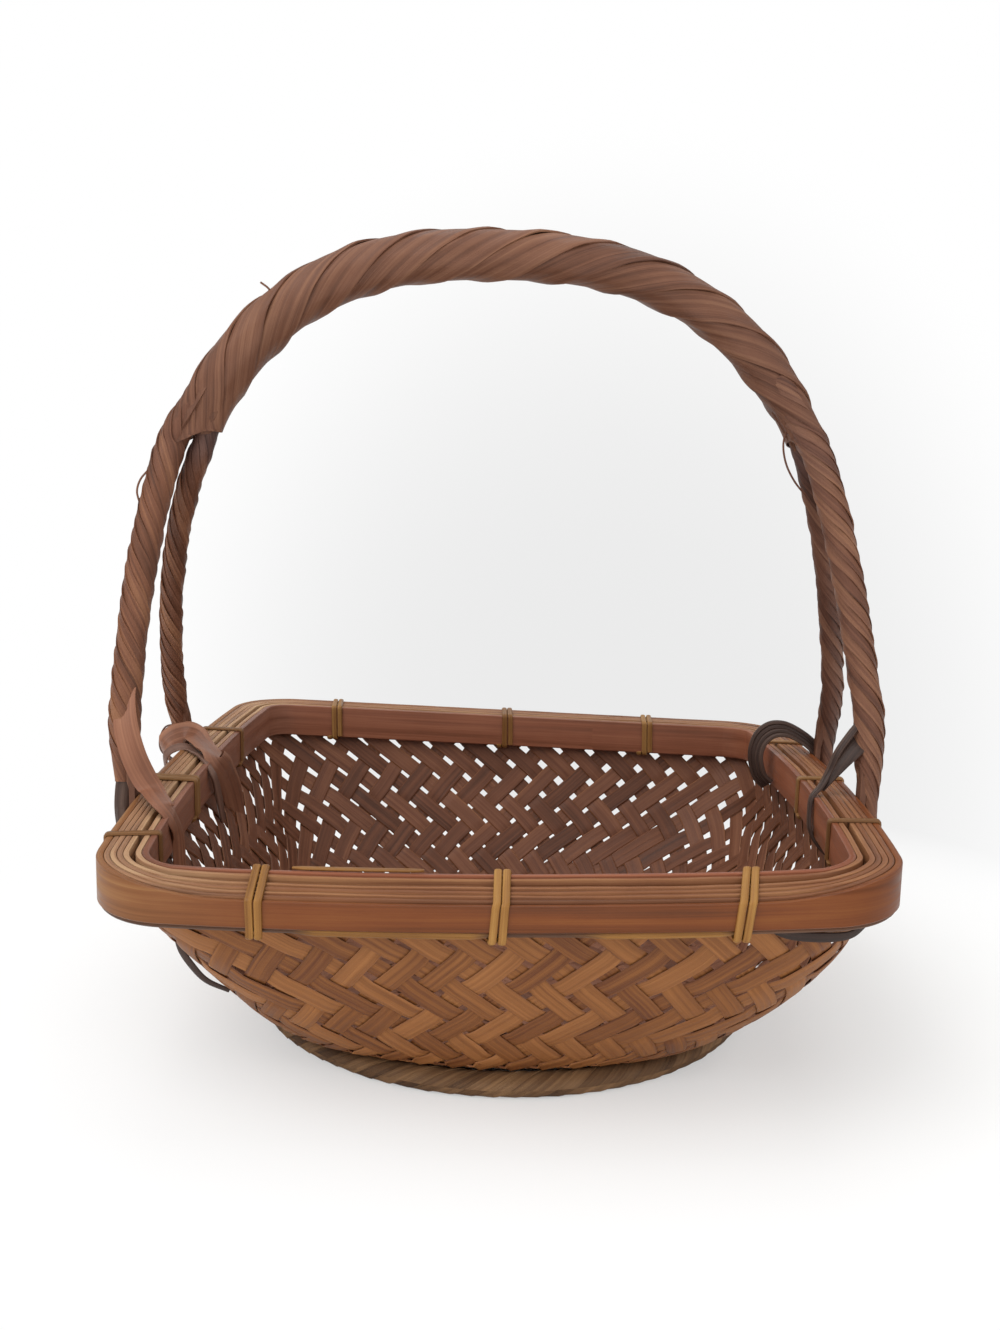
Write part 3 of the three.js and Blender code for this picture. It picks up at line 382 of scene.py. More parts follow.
def hoop(name, near, far, seed, material, low_at, high_at, rounding, uneven, shade_at):
    """A strip right round the rim, between two depths; its waves come round to where they began."""
    order = np.r_[SEAM:len(RIM_POINTS), 0:SEAM + 1]
    points, outwards = RIM_POINTS[order], RIM_OUT[order]
    along = distances(points)
    x, y = points[:, 0], points[:, 1]

    def wave(number, *lengths):
        return ripple(number, along, *[along[-1] / round(along[-1] / length) for length in lengths])

    drift = wave(seed, 260, 97, 41) * 0.1
    near_at, far_at = near + drift, far + drift * 0.6
    low = low_at(x, y) + wave(seed + 1, 330, 150) * 0.12
    high = high_at(x, y, near) + wave(seed + 2, 240, 130, 57, 23) * uneven
    r, bevel = rounding, 0.3 * rounding
    profile = [(near_at, low + r), (near_at, high - r), (near_at + bevel, high - bevel),
               (near_at + r, high), (far_at - r, high), (far_at - bevel, high - bevel),
               (far_at, high - r), (far_at, low + r), (far_at - r, low), (near_at + r, low)]
    rings = np.stack([at_rim(points, outwards, depth, z) for depth, z in profile], 1)
    height = np.stack([z - low for depth, z in profile], 1)
    depths = np.stack([depth - near for depth, z in profile], 1)
    stack = Stack()
    stack.add(rings, along, height + depths, seed, shade_at(x, y)[:, None])
    stack.build(name, material)


def bottom_of(x, y):
    return RIM_BOTTOM + warp(x, y)


def painted_highlight(x, y):
    """Painted highlight: the rim is painted paler and greyer on its left, which faces the key light, and
    at its back.
    """
    return np.maximum(ease(70, 152, -x) * 0.8, ease(60, 150, y) * 0.35)


HOOP_MATERIALS = {"rim_outer_band": rim_band, "rim_inner_band": rim_inner}
# The hoops are a little thicker than the solids, so that only thin lines show between them
HOOP_GROWTH = 0.08
# The rim's hoops take painted highlight on the rim's left and back
for number, (layer, near, far) in enumerate(LAYERS):
    if layer == "wall":
        continue
    band = layer.endswith("band")
    hoop(layer, near - HOOP_GROWTH, far + HOOP_GROWTH, 11 + number, HOOP_MATERIALS.get(layer, rim_edge),
         bottom_of, rim_top,
         rounding=0.5 if band else 0.42, uneven=0.12 if band else 0.3, shade_at=painted_highlight)


# Under the rim runs a strip that shows golden along two stretches of the front, and dark elsewhere

def golden(x, y):
    left = ease(-72, -66, x) * (1 - ease(-8, -2, x))
    right = ease(30, 36, x) * (1 - ease(78, 86, x))
    return np.where(y < -100, np.maximum(left, right), 0)


UNDER_NEAR, UNDER_FAR = 1.04, 4.44
hoop("rim_under_strip", UNDER_NEAR, UNDER_FAR, 31, rattan_strip,
     lambda x, y: bottom_of(x, y) - mix(1.7, 2.6, golden(x, y)),
     lambda x, y, depth: bottom_of(x, y) - 0.1,
     rounding=0.6, uneven=0.1, shade_at=lambda x, y: 1 - golden(x, y))


# Woven bowl: a flat mat, and strips that climb the wall both ways round and cross in rows

SPLINT_THICK = 0.85
WALL_WIDTHS, MAT_WIDTHS = (8.2, 9.1), (8.1, 8.5)
ROW_LENGTH, STEPS_PER_ROW = 8, 8
MAT_PITCH = 8.8
OVER_WALL, OVER_MAT = 0.5, 0.46
WALL_SINK, MAT_RISE = 0.95, 0.9
# Where the wall's strips end inside the rim
HIDDEN_DEPTH, HIDDEN_DROP = 13.0, 6.6


def wall_plan(z):
    share = np.clip((z - WALL_START) / (WALL_END - WALL_START), 0, 1)
    swell = 1 - (1 - share) ** SWELL
    return (mix(BASE_HALF, RIM_HALF - WALL_NEAR, swell),
            mix(BASE_CORNER, RIM_CORNER - WALL_NEAR, share ** TIGHTENING),
            mix(BASE_BOW, RIM_BOW - WALL_NEAR, share))


class Wall:
    """The bowl's outer surface, from under the base's edge up into the rim. A place on it is given by
    a share of the way round and by a row, where rows are the heights at which strips cross."""

    def __init__(self):
        inward = np.array([14.0, 6.0, 3.0])
        first = len(inward)
        z = np.concatenate([[BASE_HEIGHT, BASE_HEIGHT, BASE_HEIGHT + BASE_RISE / 4],
                            np.linspace(WALL_START, WALL_END, 150),
                            np.linspace(WALL_END + 0.8, 99, 16)])
        half, corner, bow = wall_plan(z)
        for size, base in ((half, BASE_HALF), (corner, BASE_CORNER), (bow, BASE_BOW)):
            size[:first] = base - inward
        self.z, self.half, self.corner, self.bow = z, half, corner, bow
        angles = np.linspace(0, 2 * pi, 1441)
        radius = ring_radius(half[:, None], corner[:, None], bow[:, None], angles)
        x, y = radius * np.cos(angles), radius * np.sin(angles)
        passed = np.cumsum(np.hypot(np.diff(x), np.diff(y)), axis=1)
        passed = np.concatenate([np.zeros((len(z), 1)), passed], 1)
        self.girth = passed[:, -1]
        self.shares = np.linspace(0, 1, 1025)
        self.angle = np.array([np.interp(self.shares, row / row[-1], angles) for row in passed])
        self.slope = mix(LOWEST_SLOPE, 1, ease(WALL_START, WALL_START + SLOPE_RISE, z))
        climb = self.slope * self.girth
        step = np.hypot(np.diff(z), np.diff(half)) / (0.5 * climb[1:] + 0.5 * climb[:-1])
        rows = np.concatenate([[0], np.cumsum(step)]) * 2 * STRIPS_PER_WAY
        self.row = rows - rows[first]

    def of_row(self, values, row):
        return np.interp(row, self.row, values)

    def point(self, share, row):
        level = self.of_row(np.arange(len(self.z)), row)
        below = np.clip(level.astype(int), 0, len(self.z) - 2)
        part = level - below
        column = (share % 1) * (len(self.shares) - 1)
        left = np.clip(column.astype(int), 0, len(self.shares) - 2)
        across = column - left
        angle = mix(mix(self.angle[below, left], self.angle[below, left + 1], across),
                    mix(self.angle[below + 1, left], self.angle[below + 1, left + 1], across), part)
        half, corner, bow, z = (self.of_row(v, row) for v in (self.half, self.corner, self.bow, self.z))
        radius = ring_radius(half, corner, bow, angle)
        x, y = radius * np.cos(angle), radius * np.sin(angle)
        risen = np.clip((z - WALL_START) / (WALL_END - WALL_START), 0, 1)
        warped = np.clip((z - BASE_HEIGHT) / (WALL_END - BASE_HEIGHT), 0, 1)
        return np.stack([x + 4 * LEAN * risen * (1 - risen) + MIDDLE, y, z + warped * warp(x, y)], -1)


wall = Wall()


def crossing_wave(row, is_over):
    """Height of a strip that passes over and under, from -1 to 1."""
    before = np.floor(row)
    step = ease(0.22, 0.78, row - before)
    return mix(is_over(before), is_over(before + 1), step)


def wall_strips(stack):
    random = np.random.default_rng(21)
    for family in (1, -1):
        for i in range(STRIPS_PER_WAY):
            seed = 500 + i * 2 + family
            row = np.arange(wall.row[0] + random.uniform(0, 1.2), wall.row[-1], 1 / STEPS_PER_ROW)
            run = row * ROW_LENGTH
            girth = wall.of_row(wall.girth, row)
            wander = ripple(seed, run, 90, 41, 23) * 0.8 + random.uniform(-0.5, 0.5)
            share = (i + family * row / 2) / STRIPS_PER_WAY + wander / girth
            here = wall.point(share, row)
            round_it = wall.point(share + 0.0006, row) - here
            up_it = wall.point(share, row + 0.03) - here
            normal = unit(np.cross(round_it, up_it))
            wave = crossing_wave(row, lambda k: np.where(k % 4 < 2, 1.0, -1.0) * family)
            loose = ripple(seed + 0.5, run, 61, 37) * 0.12
            path = here - normal * (WALL_SINK - wave * OVER_WALL - loose)[:, None]
            slope = wall.of_row(wall.slope, row)
            room = girth / STRIPS_PER_WAY * slope / np.hypot(1, slope)
            width = random.uniform(*WALL_WIDTHS) + ripple(seed + 0.7, run, 83, 31) * 0.3
            width = np.minimum(width, room * random.uniform(0.9, 0.98))
            flat = (here - TO_MIDDLE)[:, :2]
            outer = flat * (RIM_HALF / wall.of_row(wall.half, row))[:, None]
            keep = here[:, 2] < rim_top(outer[:, 0], outer[:, 1], HIDDEN_DEPTH) - HIDDEN_DROP
            # The strips' under faces, inside the bowl, take painted shade
            tape(stack, path[keep], normal[keep], width[keep], SPLINT_THICK, seed * 0.137,
                 start=random.uniform(0, 3000), shade=UNDERSIDE)


def mat_strips(stack):
    """The floor: strips along both diagonals, over two and under two in squares about the middle."""
    random = np.random.default_rng(33)
    count = int(BASE_HALF * 1.3 / MAT_PITCH)
    edge = slice(0, 30)
    for family in (1, -1):
        for i in range(-count, count + 1):
            seed = 900 + i * 2 + family
            run = np.arange(-count * MAT_PITCH, count * MAT_PITCH, MAT_PITCH / STEPS_PER_ROW)
            aside = i * MAT_PITCH + ripple(seed, run, 170, 90) * 0.35
            x, y = (run - family * aside) / math.sqrt(2), (family * run + aside) / math.sqrt(2)
            size = ring_radius(1.0, BASE_CORNER / BASE_HALF, BASE_BOW / BASE_HALF, np.arctan2(y, x))
            ring = np.hypot(x, y) / size
            keep = ring < BASE_HALF - 1.5
            if keep.sum() < 12:
                continue
            wave = crossing_wave(run / MAT_PITCH, lambda k: np.where(
                np.maximum(np.abs(i + k * family), np.abs(k - i * family)) % 4 < 2, 1.0, -1.0) * family)
            lifted = MAT_RISE + 1.7 * ease(BASE_HALF - 20, BASE_HALF - 13, ring)
            z = np.interp(ring, wall.half[edge], wall.z[edge]) + lifted
            path = np.stack([x + MIDDLE, y, z + wave * OVER_MAT], -1)
            normal = np.broadcast_to([0.0, 0, 1], path.shape)
            # The mat's upper faces, inside the bowl, take full painted shade, its under faces half
            tape(stack, path[keep], normal[keep], random.uniform(*MAT_WIDTHS), SPLINT_THICK, seed * 0.171,
                 start=random.uniform(0, 3000), shade=1 - 0.5 * UNDERSIDE)


bowl = Stack()
wall_strips(bowl)
mat_strips(bowl)
bowl.build("woven_bowl", weave_strip)


# Bindings of rattan round the rim

SIDES = {"right": (0, 1), "back": (1, -1), "left": (2, -1), "front": (3, 1)}
BINDING_THICK, BINDING_CLEARANCE, BINDING_BEND, BINDING_DROP = 1.2, 0.7, 1.4, 2.9


def rim_place(side, at, depth, height, reference):
    """Points on the rim's section by place along a side, by depth and by height, which is measured
    from the rim's bottom or top, or from the floor; and the outward directions there."""
    quarter, sign = SIDES[side]
    local = np.arcsin(sign * np.asarray(at, float) / RIM_BOW)
    centre = RIM_HALF - RIM_BOW
    base = np.stack([centre + RIM_BOW * np.cos(local), RIM_BOW * np.sin(local)], -1)
    c, s = math.cos(quarter * pi / 2), math.sin(quarter * pi / 2)
    x, y = c * base[..., 0] - s * base[..., 1], s * base[..., 0] + c * base[..., 1]
    angle = quarter * pi / 2 + local
    out = np.stack([np.cos(angle), np.sin(angle), 0 * angle], -1)
    level = {"bottom": bottom_of(x, y), "top": rim_top(x, y, depth), "floor": 0 * x}[reference]
    return np.stack([x + MIDDLE, y, level + height], -1) - out * np.asarray(depth)[..., None], out


def loop_section(side, at):
    """The path of a strip once round the rim: depth and height of its points, from below the
    inner face."""
    bottom, outer, inner = (float(rim_place(side, at, depth, 0.0, reference)[0][2])
                            for depth, reference in ((0.0, "bottom"), (0.0, "top"), (RIM_DEPTH, "top")))
    away = BINDING_CLEARANCE
    below = bottom - BINDING_DROP - away
    corners = np.array([[RIM_DEPTH + away, bottom - away], [5.0, below], [-away, below],
                        [-away, outer + away], [RIM_DEPTH + away, inner + away]])
    path = []
    for k in range(len(corners)):
        here, before, after = corners[k], corners[k - 1], corners[(k + 1) % len(corners)]
        start = here + unit(before - here) * BINDING_BEND
        end = here + unit(after - here) * BINDING_BEND
        for t in np.linspace(0, 1, 5):
            path.append((1 - t) ** 2 * start + 2 * t * (1 - t) * here + t * t * end)
        for t in np.linspace(0, 1, 7)[1:-1]:
            path.append(mix(end, after + unit(here - after) * BINDING_BEND, t))
    return np.array(path)


def wind_rim(stack, side, at, turns, pitch, width, seed, slant, lean, shade):
    section = loop_section(side, at)
    points = np.vstack([section] * turns + [section[:1]])
    share = np.arange(len(points)) / len(section)
    along = at - pitch * turns / 2 + pitch * share
    along = along + slant * (points[:, 1] - RIM_BOTTOM) / RIM_HEIGHT + lean * points[:, 0] / RIM_DEPTH
    along = along + ripple(seed, share * 30, 31, 17) * 0.3
    path, out = rim_place(side, along, points[:, 0], points[:, 1], "floor")
    steps = np.gradient(points, axis=0)
    across = unit(np.stack([steps[:, 1], -steps[:, 0]], -1))
    normal = -out * across[:, :1] + np.array([0, 0, 1.0]) * across[:, 1:]
    outwards = np.sign(((path - path.mean(0)) * normal).sum(-1)).mean()
    normal = normal * (1 if outwards > 0 else -1)
    tape(stack, path, normal, width, BINDING_THICK, seed, rounded=True, shade=shade)


# For each binding: its place along its side, its turns, and its slant up the rim and across it
BINDINGS = {
    "front_left": (-84.7, 2, -1.2, -1.8), "front_middle": (1.5, 2, 0.4, -0.8),
    "front_right": (87.0, 2, 1.2, 3.8), "back_left": (-97.0, 2, 0, 0),
    "back_middle": (-1.5, 2, 0, 0), "back_right": (77.0, 2, 0, 0), "left_rear": (63.9, 1, 0, -1.5),
    "left_middle": (-26.2, 2, 0, -2.5), "left_front": (-103.95, 1, 0, 1.5),
    "right_rear": (84.7, 1, 0, 1.5), "right_middle": (1.5, 1, 0, -2), "right_front": (-72.4, 1, 0, -3),
}
# For each side the windings' pitch, their width and how brown they are
WRAPPED = {"front": (3.3, 2.9, 0.0), "back": (3.1, 2.7, 0.35), "left": (4.0, 4.1, 0.55),
           "right": (4.0, 4.1, 0.55)}
for number, (name, (at, turns, slant, lean)) in enumerate(BINDINGS.items()):
    stack = Stack()
    side = name.split("_")[0]
    pitch, width, brown = WRAPPED[side]
    wind_rim(stack, side, at, turns, pitch, width, 60 + number * 0.71, slant, lean, brown)
    stack.build("binding_" + name, rattan_strip)


# Handle

LEG_REACH = RIM_HALF + GAP + FRONT["radius"] + WINDING_GAP + WINDING_THICK


def arch_point(angle):
    across = np.cos(angle)
    rise = np.abs(np.sin(angle)) ** (2 / POWER)
    reach = LEG_REACH * np.sign(across) * np.abs(across) ** (2 / POWER)
    peak = 3 / 7
    shoulder = rise ** 1.5 * (1 - rise) ** 2 / (peak ** 1.5 * (1 - peak) ** 2)
    lean = np.where(across < 0, SHOULDER * shoulder, 0)
    return np.stack([APEX_SHIFT * rise * rise - lean - reach, 0 * rise, mix(SPRING, ARCH, rise)], -1)


def bundle_share(x):
    return np.clip((x / LEG_REACH + 1) / 2, 0, 1)


def bundle_radius(x):
    return mix(BUNDLE_LEFT, BUNDLE_RIGHT, ease(0.3, 0.9, bundle_share(x)))


def split_angle(x):
    return np.radians(mix(SPLIT_LEFT, SPLIT_RIGHT, ease(0.1, 0.9, bundle_share(x))))


def axes_of(tangent):
    outward = unit(np.cross(tangent, np.array([0, 1.0, 0])))
    deep = unit(np.cross(outward, tangent))
    return outward, deep


def strand_point(strand, angle):
    middle = arch_point(angle)
    tangent = unit(arch_point(angle + 0.01) - arch_point(angle - 0.01))
    outward, deep = axes_of(tangent)
    x, z = middle[..., 0], middle[..., 2]
    turned = split_angle(x)
    parted = 1 - ease(SPLIT_HEIGHT, SPLIT_HEIGHT + PARTING, z)
    spread = np.clip((SPLIT_HEIGHT - z) / (SPLIT_HEIGHT - SPRING), 0, 1)
    wrapped = strand["radius"] + WINDING_GAP + WINDING_THICK
    offset = strand["sign"] * mix(bundle_radius(x) / 2, wrapped + GAP, parted) * (1 - spread) ** 2
    point = (middle + outward * (offset * np.sin(turned))[..., None]
             - deep * (offset * np.cos(turned))[..., None])
    footing = np.where(x < 0, strand["left"], strand["right"])
    point[..., 1] += footing * spread
    return point


class Track:
    """A dense line with its distance, its directions across, and places by height."""

    def __init__(self, points):
        self.points = points
        self.along = distances(points)
        self.tangent = unit(np.gradient(points, axis=0))

    def at(self, s):
        point = np.stack([np.interp(s, self.along, self.points[:, k]) for k in range(3)], -1)
        tangent = unit(np.stack([np.interp(s, self.along, self.tangent[:, k]) for k in range(3)], -1))
        outward, deep = axes_of(tangent)
        return point, outward, deep

    def height(self, z, part=slice(None)):
        heights, along = self.points[part, 2], self.along[part]
        order = np.argsort(heights)
        return np.interp(z, heights[order], along[order])


def wind(stack, track, ends, number, strips, pitch, lap, radius_at, thick, seed, rows, columns,
         overlap, rough, shade_at, cut=(0.0, 0.0)):
    """One of the strips wound round a track. Its leading edge lies under its neighbour and its other
    edge over it. Both its ends are cut off across the track, further out on the outer side, and grow
    thin."""
    taper, thinnest, edge_drop, usual_radius = 22, 0.5, 0.35, 9
    start, end = ends
    width = pitch / strips + lap
    longest = sum(cut)
    travel = end - start + width + 2 * longest - 0.6
    count = int(travel / pitch * rows)
    middle = start - width / 2 - longest + 0.3 + travel * np.arange(count + 1) / count
    angle = number * 2 * pi / strips + 2 * pi * (middle - start) / pitch
    share = np.linspace(-0.5, 0.5, columns)
    at_edge = np.where(np.abs(share) > 0.45, 1, 0)
    s = middle[:, None] + share * width
    s = s + (ripple(seed + 5, middle, 83, 37, 17) * 0.6)[:, None] * at_edge
    slant = (cut[0] + cut[1] * np.cos(angle))[:, None]
    s = np.clip(s, start - slant, end + slant)
    full = ease(0, taper, np.minimum(s - start + slant, end + slant - s))
    point, outward, deep = track.at(s)
    lift = overlap * (ease(0.1, 0.5, share) - 0.15) * full
    uneven = (ripple(seed, middle, 61, 29, 13) * rough)[:, None] * (1 + 0.8 * share) * full
    thick = mix(thinnest, thick, full)
    around = outward * np.cos(angle)[:, None, None] + deep * np.sin(angle)[:, None, None]
    radius = radius_at(s, point, np.broadcast_to(angle[:, None], s.shape)) + lift + uneven
    top = point + around * (radius + thick - edge_drop * at_edge * thick)[..., None]
    under = point + around * radius[..., None]
    rings = np.concatenate([top, under[:, ::-1]], 1)
    helix = math.atan2(2 * pi * usual_radius, pitch)
    across = np.concatenate([share, share[::-1]]) * width * math.sin(helix)
    stack.add(rings, middle / math.cos(helix), across, seed, shade_at(rings))


arch_angles = np.linspace(0.03, pi - 0.03, 700)
arch_track = Track(arch_point(arch_angles) + TO_MIDDLE)
half = len(arch_angles) // 2
arch_ends = [arch_track.height(SPLIT_HEIGHT, part) for part in (slice(0, half), slice(half, None))]

# Where the two wrapped strands lie across the arch, all along it
strands_at = []
for strand in (FRONT, REAR):
    apart = strand_point(strand, arch_angles) - arch_point(arch_angles)
    outward, deep = axes_of(arch_track.tangent)
    skin = strand["radius"] + WINDING_GAP + (0.05 if strand is FRONT else 1.3)
    strands_at.append(((apart * outward).sum(-1), (apart * deep).sum(-1), skin))


def round_both(s, angle):
    """Distance from the arch's middle to a skin drawn round both wrapped strands, in a direction."""
    best = np.zeros_like(angle)
    (out_1, deep_1, radius_1), (out_2, deep_2, radius_2) = strands_at
    for share in np.linspace(0, 1, 7):
        out = np.interp(s, arch_track.along, mix(out_1, out_2, share))
        deep = np.interp(s, arch_track.along, mix(deep_1, deep_2, share))
        towards = out * np.cos(angle) + deep * np.sin(angle)
        left = mix(radius_1, radius_2, share) ** 2 - out ** 2 - deep ** 2 + towards ** 2
        best = np.maximum(best, np.where(left > 0, towards + np.sqrt(np.maximum(left, 0)), 0))
    return best


def arch_radius(s, point, angle):
    bundle = bundle_radius(point[..., 0] - MIDDLE)
    parted = 1 - ease(SPLIT_HEIGHT + 14, SPLIT_HEIGHT + PARTING + 18, point[..., 2])
    return mix(bundle + 0.5, np.maximum(round_both(s, angle), bundle - 2.5) + 0.1, parted)


ARCH_STRIPS, ARCH_PITCH, ARCH_LAP = 4, 105.0, 1.6
# The wrapping is painted darker towards the right: painted shade
for number in range(ARCH_STRIPS):
    stack = Stack()
    wind(stack, arch_track, arch_ends, number, ARCH_STRIPS, ARCH_PITCH, ARCH_LAP, arch_radius,
         WINDING_THICK, 201 + number * 3.3, rows=44, columns=13, overlap=1.15, rough=0.45, cut=(-5, 8),
         shade_at=lambda at: 0.45 * ease(20, 150, at[..., 0]))
    stack.build(f"handle_wrap_{number + 1}", handle_strip)


# For each leg the height down to which it is wrapped, and its painted shade, which grows to the right and
# to the back
LEGS = {"front_left": (106.0, 0.0), "rear_left": (101.0, 0.1),
        "front_right": (91.0, 0.3), "rear_right": (93.0, 0.5)}
LEG_STRIPS, LEG_PITCH, LEG_LAP, LEG_THICK = 8, 60.0, 0.9, 1.0
# Reach and height of the points through which the lower end of a leg goes
LEG_FOOT = ((160.6, 88.0), (160.2, 96.0), (159.4, 103.0))
# Between these heights a leg thins to this radius
THIN_BELOW, THICK_ABOVE, THIN_RADIUS = 94, 128, 2.6


def leg_shade(strand, base):
    """Painted shade: a leg is painted darker where it comes out from under the arch's wrapping, a rear
    leg much more than a front one.
    """
    under = 0.9 if strand is REAR else 0.25
    return lambda at: mix(base, 1, under * ease(SPLIT_HEIGHT - 16, SPLIT_HEIGHT + 2, at[..., 2]))


def leg_radius(strand):
    """Distance from a leg's middle to its wrapping; outside the rim the leg grows thinner."""
    full = strand["radius"] + WINDING_GAP - 0.1
    return lambda s, point, angle: mix(THIN_RADIUS, full, ease(THIN_BELOW, THICK_ABOVE, point[..., 2]))


leg_number = 0
for strand in (FRONT, REAR):
    line = strand_point(strand, np.linspace(0.07, pi - 0.07, 900)) + TO_MIDDLE
    above = SPLIT_HEIGHT + (36 if strand is FRONT else 15)
    for side, sign in (("left", -1), ("right", 1)):
        leg = f"{strand['name']}_{side}"
        foot = np.array([[sign * reach + MIDDLE, strand[side], z] for reach, z in LEG_FOOT])
        points = [foot, line[:450:8]] if side == "left" else [line[450::8], foot[::-1]]
        track = Track(smooth_line(np.vstack(points), 8))
        below, base = LEGS[leg]
        ends = sorted(track.height((above, below)))
        for part in range(2):
            stack = Stack()
            for k in range(part * LEG_STRIPS // 2, (part + 1) * LEG_STRIPS // 2):
                leg_number += 1
                wind(stack, track, ends, k, LEG_STRIPS, LEG_PITCH, LEG_LAP, leg_radius(strand),
                     LEG_THICK, 301 + leg_number * 1.7, rows=36, columns=4, overlap=0.75, rough=0.4,
                     shade_at=leg_shade(strand, base))
            stack.build(f"leg_wrap_{leg}_{part + 1}", leg_strip)


# Foot ring: narrow strips wound round a hoop

def foot_ring():
    loops, strips, steps = 16, 5, 28
    half_width, half_height, thick = 4.2, 2.6, 1.0
    lapped, wide, loop_length = 1.12, 8.0, 42.0
    stack = Stack()
    turn = np.arange(loops * steps + 1) / loops / steps
    angle = 2 * pi * loops * turn[:, None]
    share = np.linspace(-0.5, 0.5, 5)
    for k in range(strips):
        seed = 401 + k * 2.9
        around = 2 * pi * (turn[:, None] + (k + share * lapped) / strips / loops)
        grow = 2.0 + 0.3 * ease(0.0, 0.5, share) + 0.2 * ripple(seed, turn * 900, 71, 23, 11)[:, None]

        def ring_point(extra):
            radius = FOOT_RADIUS + (half_width + extra) * np.cos(angle)
            z = FOOT_CENTRE + (half_height + extra) * np.sin(angle)
            return np.stack([radius * np.cos(around) + FOOT_X + MIDDLE, radius * np.sin(around) + FOOT_Y,
                             np.maximum(z, 0)], -1)

        top, under = ring_point(grow - 0.15), ring_point(grow - thick)
        rings = np.concatenate([top, under[:, ::-1]], 1)
        across = np.concatenate([share, share[::-1]]) * wide
        for lap in range(loops):
            part = slice(lap * steps, (lap + 1) * steps + 1)
            stack.add(rings[part], np.linspace(0, loop_length, steps + 1), across, seed + lap * 0.61)
    stack.build("foot_ring_wrap", foot_strip)


foot_ring()
for name, material in (("foot_ring_core", core_strip), ("handle_core_front", handle_split),
                       ("handle_core_rear", handle_split)):
    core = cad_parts[name]
    core.data.materials.clear()
    core.data.materials.append(material)


# Ties of the legs to the rim, and loose ends

def lay(stack, points, normals, width, thick, seed, rounded=False, shade=0.0, per=8):
    """A strip through points, with a normal and a width, each given once or at each point."""
    normals = np.broadcast_to(normals, (len(points), 3))
    width = np.broadcast_to(width, len(points))
    line = smooth_line(np.column_stack([points, normals, width]), per)
    tape(stack, line[:, :3] + TO_MIDDLE, unit(line[:, 3:6]), line[:, 6], thick, seed,
         rounded=rounded, shade=shade)


# Broad end of the front left leg's wrapping, over the rim and down inside it
stack = Stack()
lay(stack, [(-160.9, -36, 150), (-160.4, -43, 140), (-158.6, -49, 130.5), (-154.2, -53.5, 118.5),
            (-149.6, -55, 109.4), (-146, -57, 105.2), (-140.5, -68, 104.4), (-136, -76, 103.4),
            (-132.4, -77, 99), (-131.6, -71, 90), (-131.6, -68.5, 78), (-131, -68, 66)],
    [(-0.3, -0.9, 0.2)] * 2 + [(-0.1, -0.9, 0.3), (0.1, -0.9, 0.4), (0.2, -0.8, 0.6), (0.3, -0.6, 0.8),
                               (0.3, -0.3, 1), (0.4, -0.1, 1), (0.8, -0.2, 0.6), (1, -0.3, 0.2),
                               (1, -0.3, 0), (1, -0.3, -0.1)],
    [10, 10.5, 10.8] + [10.5] * 6 + [10, 9.5, 8.5], 1.3, 611.3)
stack.build("tie_front_left", tie_strip)

# Broad coil round the rim beside the rear left leg, with a narrow one before it and a loose loop
stack = Stack()
lay(stack, [(-161, 42, 90), (-164.8, 37, 97), (-163.8, 34, 103), (-160.4, 36, 106), (-155.4, 38, 107.4),
            (-150.2, 34, 107.6), (-145.2, 26, 106.6), (-138.8, 15, 105.2), (-133, 6, 102.6),
            (-131.2, 11, 97.6), (-131.4, 22, 90), (-131.4, 34, 78), (-131, 43, 64), (-129, 50, 48)],
    [(-0.9, -0.4, 0), (-0.8, -0.6, 0), (-0.5, -0.8, 0.2), (-0.2, -0.9, 0.4), (0.1, -0.9, 0.5),
     (0.3, -0.8, 0.6), (0.5, -0.6, 0.8), (0.6, -0.5, 0.8), (0.9, -0.6, 0.4), (1, -0.7, 0),
     (1, -0.6, -0.1), (1, -0.6, -0.2), (1, -0.4, -0.2), (1, -0.3, -0.3)],
    [8, 10, 12] + [12.5] * 4 + [13] * 4 + [12.5, 11.5, 9.5], 1.4, 621.7, shade=0.15)
# The narrow strip is painted fully dark: painted shade under the broad coil's edge
lay(stack, [(-161, 30, 86), (-161.6, 24, 95), (-160.4, 22, 101), (-155.6, 24, 103.8),
            (-150.4, 22, 104.2), (-144.6, 14, 104), (-138, 3, 103.4), (-132.8, -3, 98.6), (-132, 2, 91),
            (-132, 7, 83), (-131.5, 12, 72)],
    [(-0.9, -0.6, 0), (-0.8, -0.6, 0.2), (-0.4, -0.7, 0.6), (0, -0.7, 0.8), (0.3, -0.7, 0.8),
     (0.5, -0.6, 0.8), (0.7, -0.4, 0.6), (1, -0.3, 0.3), (1, -0.4, 0), (1, -0.4, 0), (1, -0.3, 0)],
    [3.5, 4] + [4.4] * 4 + [4.6] * 4 + [4], 1.2, 627.1, shade=1.0)
lay(stack, [(-161, 46, 110), (-167, 46, 108.6), (-169.6, 45, 103.5), (-169, 43, 98), (-165, 42, 93.5)],
    (0, -1, 0), 0.9, 0.7, 631.9, rounded=True, shade=0.9)
stack.build("tie_rear_left", tie_strip)

# Narrow dark strips that stand up over the rim from the rear right leg and come back under it
stack = Stack()
loop = np.array([(158, 60, 88), (159, 60, 98), (153.5, 60, 106.2), (145, 60, 112.4), (138, 60, 115.2),
                 (131, 60, 114.6), (125.2, 60, 109.6), (122.6, 60, 101), (123.4, 60, 93.5),
                 (126, 60, 86.5), (130, 60, 82.6)])
middle = np.array([141, 60, 97.0])
for k in range(4):
    grown = middle + (loop - middle) * np.array([1.02 - 0.08 * k, 1, 1.02 - 0.1 * k])
    grown[:, 1] += np.linspace(1.5, 3.5 - 2.6 * k, len(loop))
    lay(stack, grown, unit(grown - middle - np.array([0, 0, 1])), 3.4, 1.9, 641.1 + k * 2.3, rounded=True)
stack.build("tie_rear_right", dark_strip)

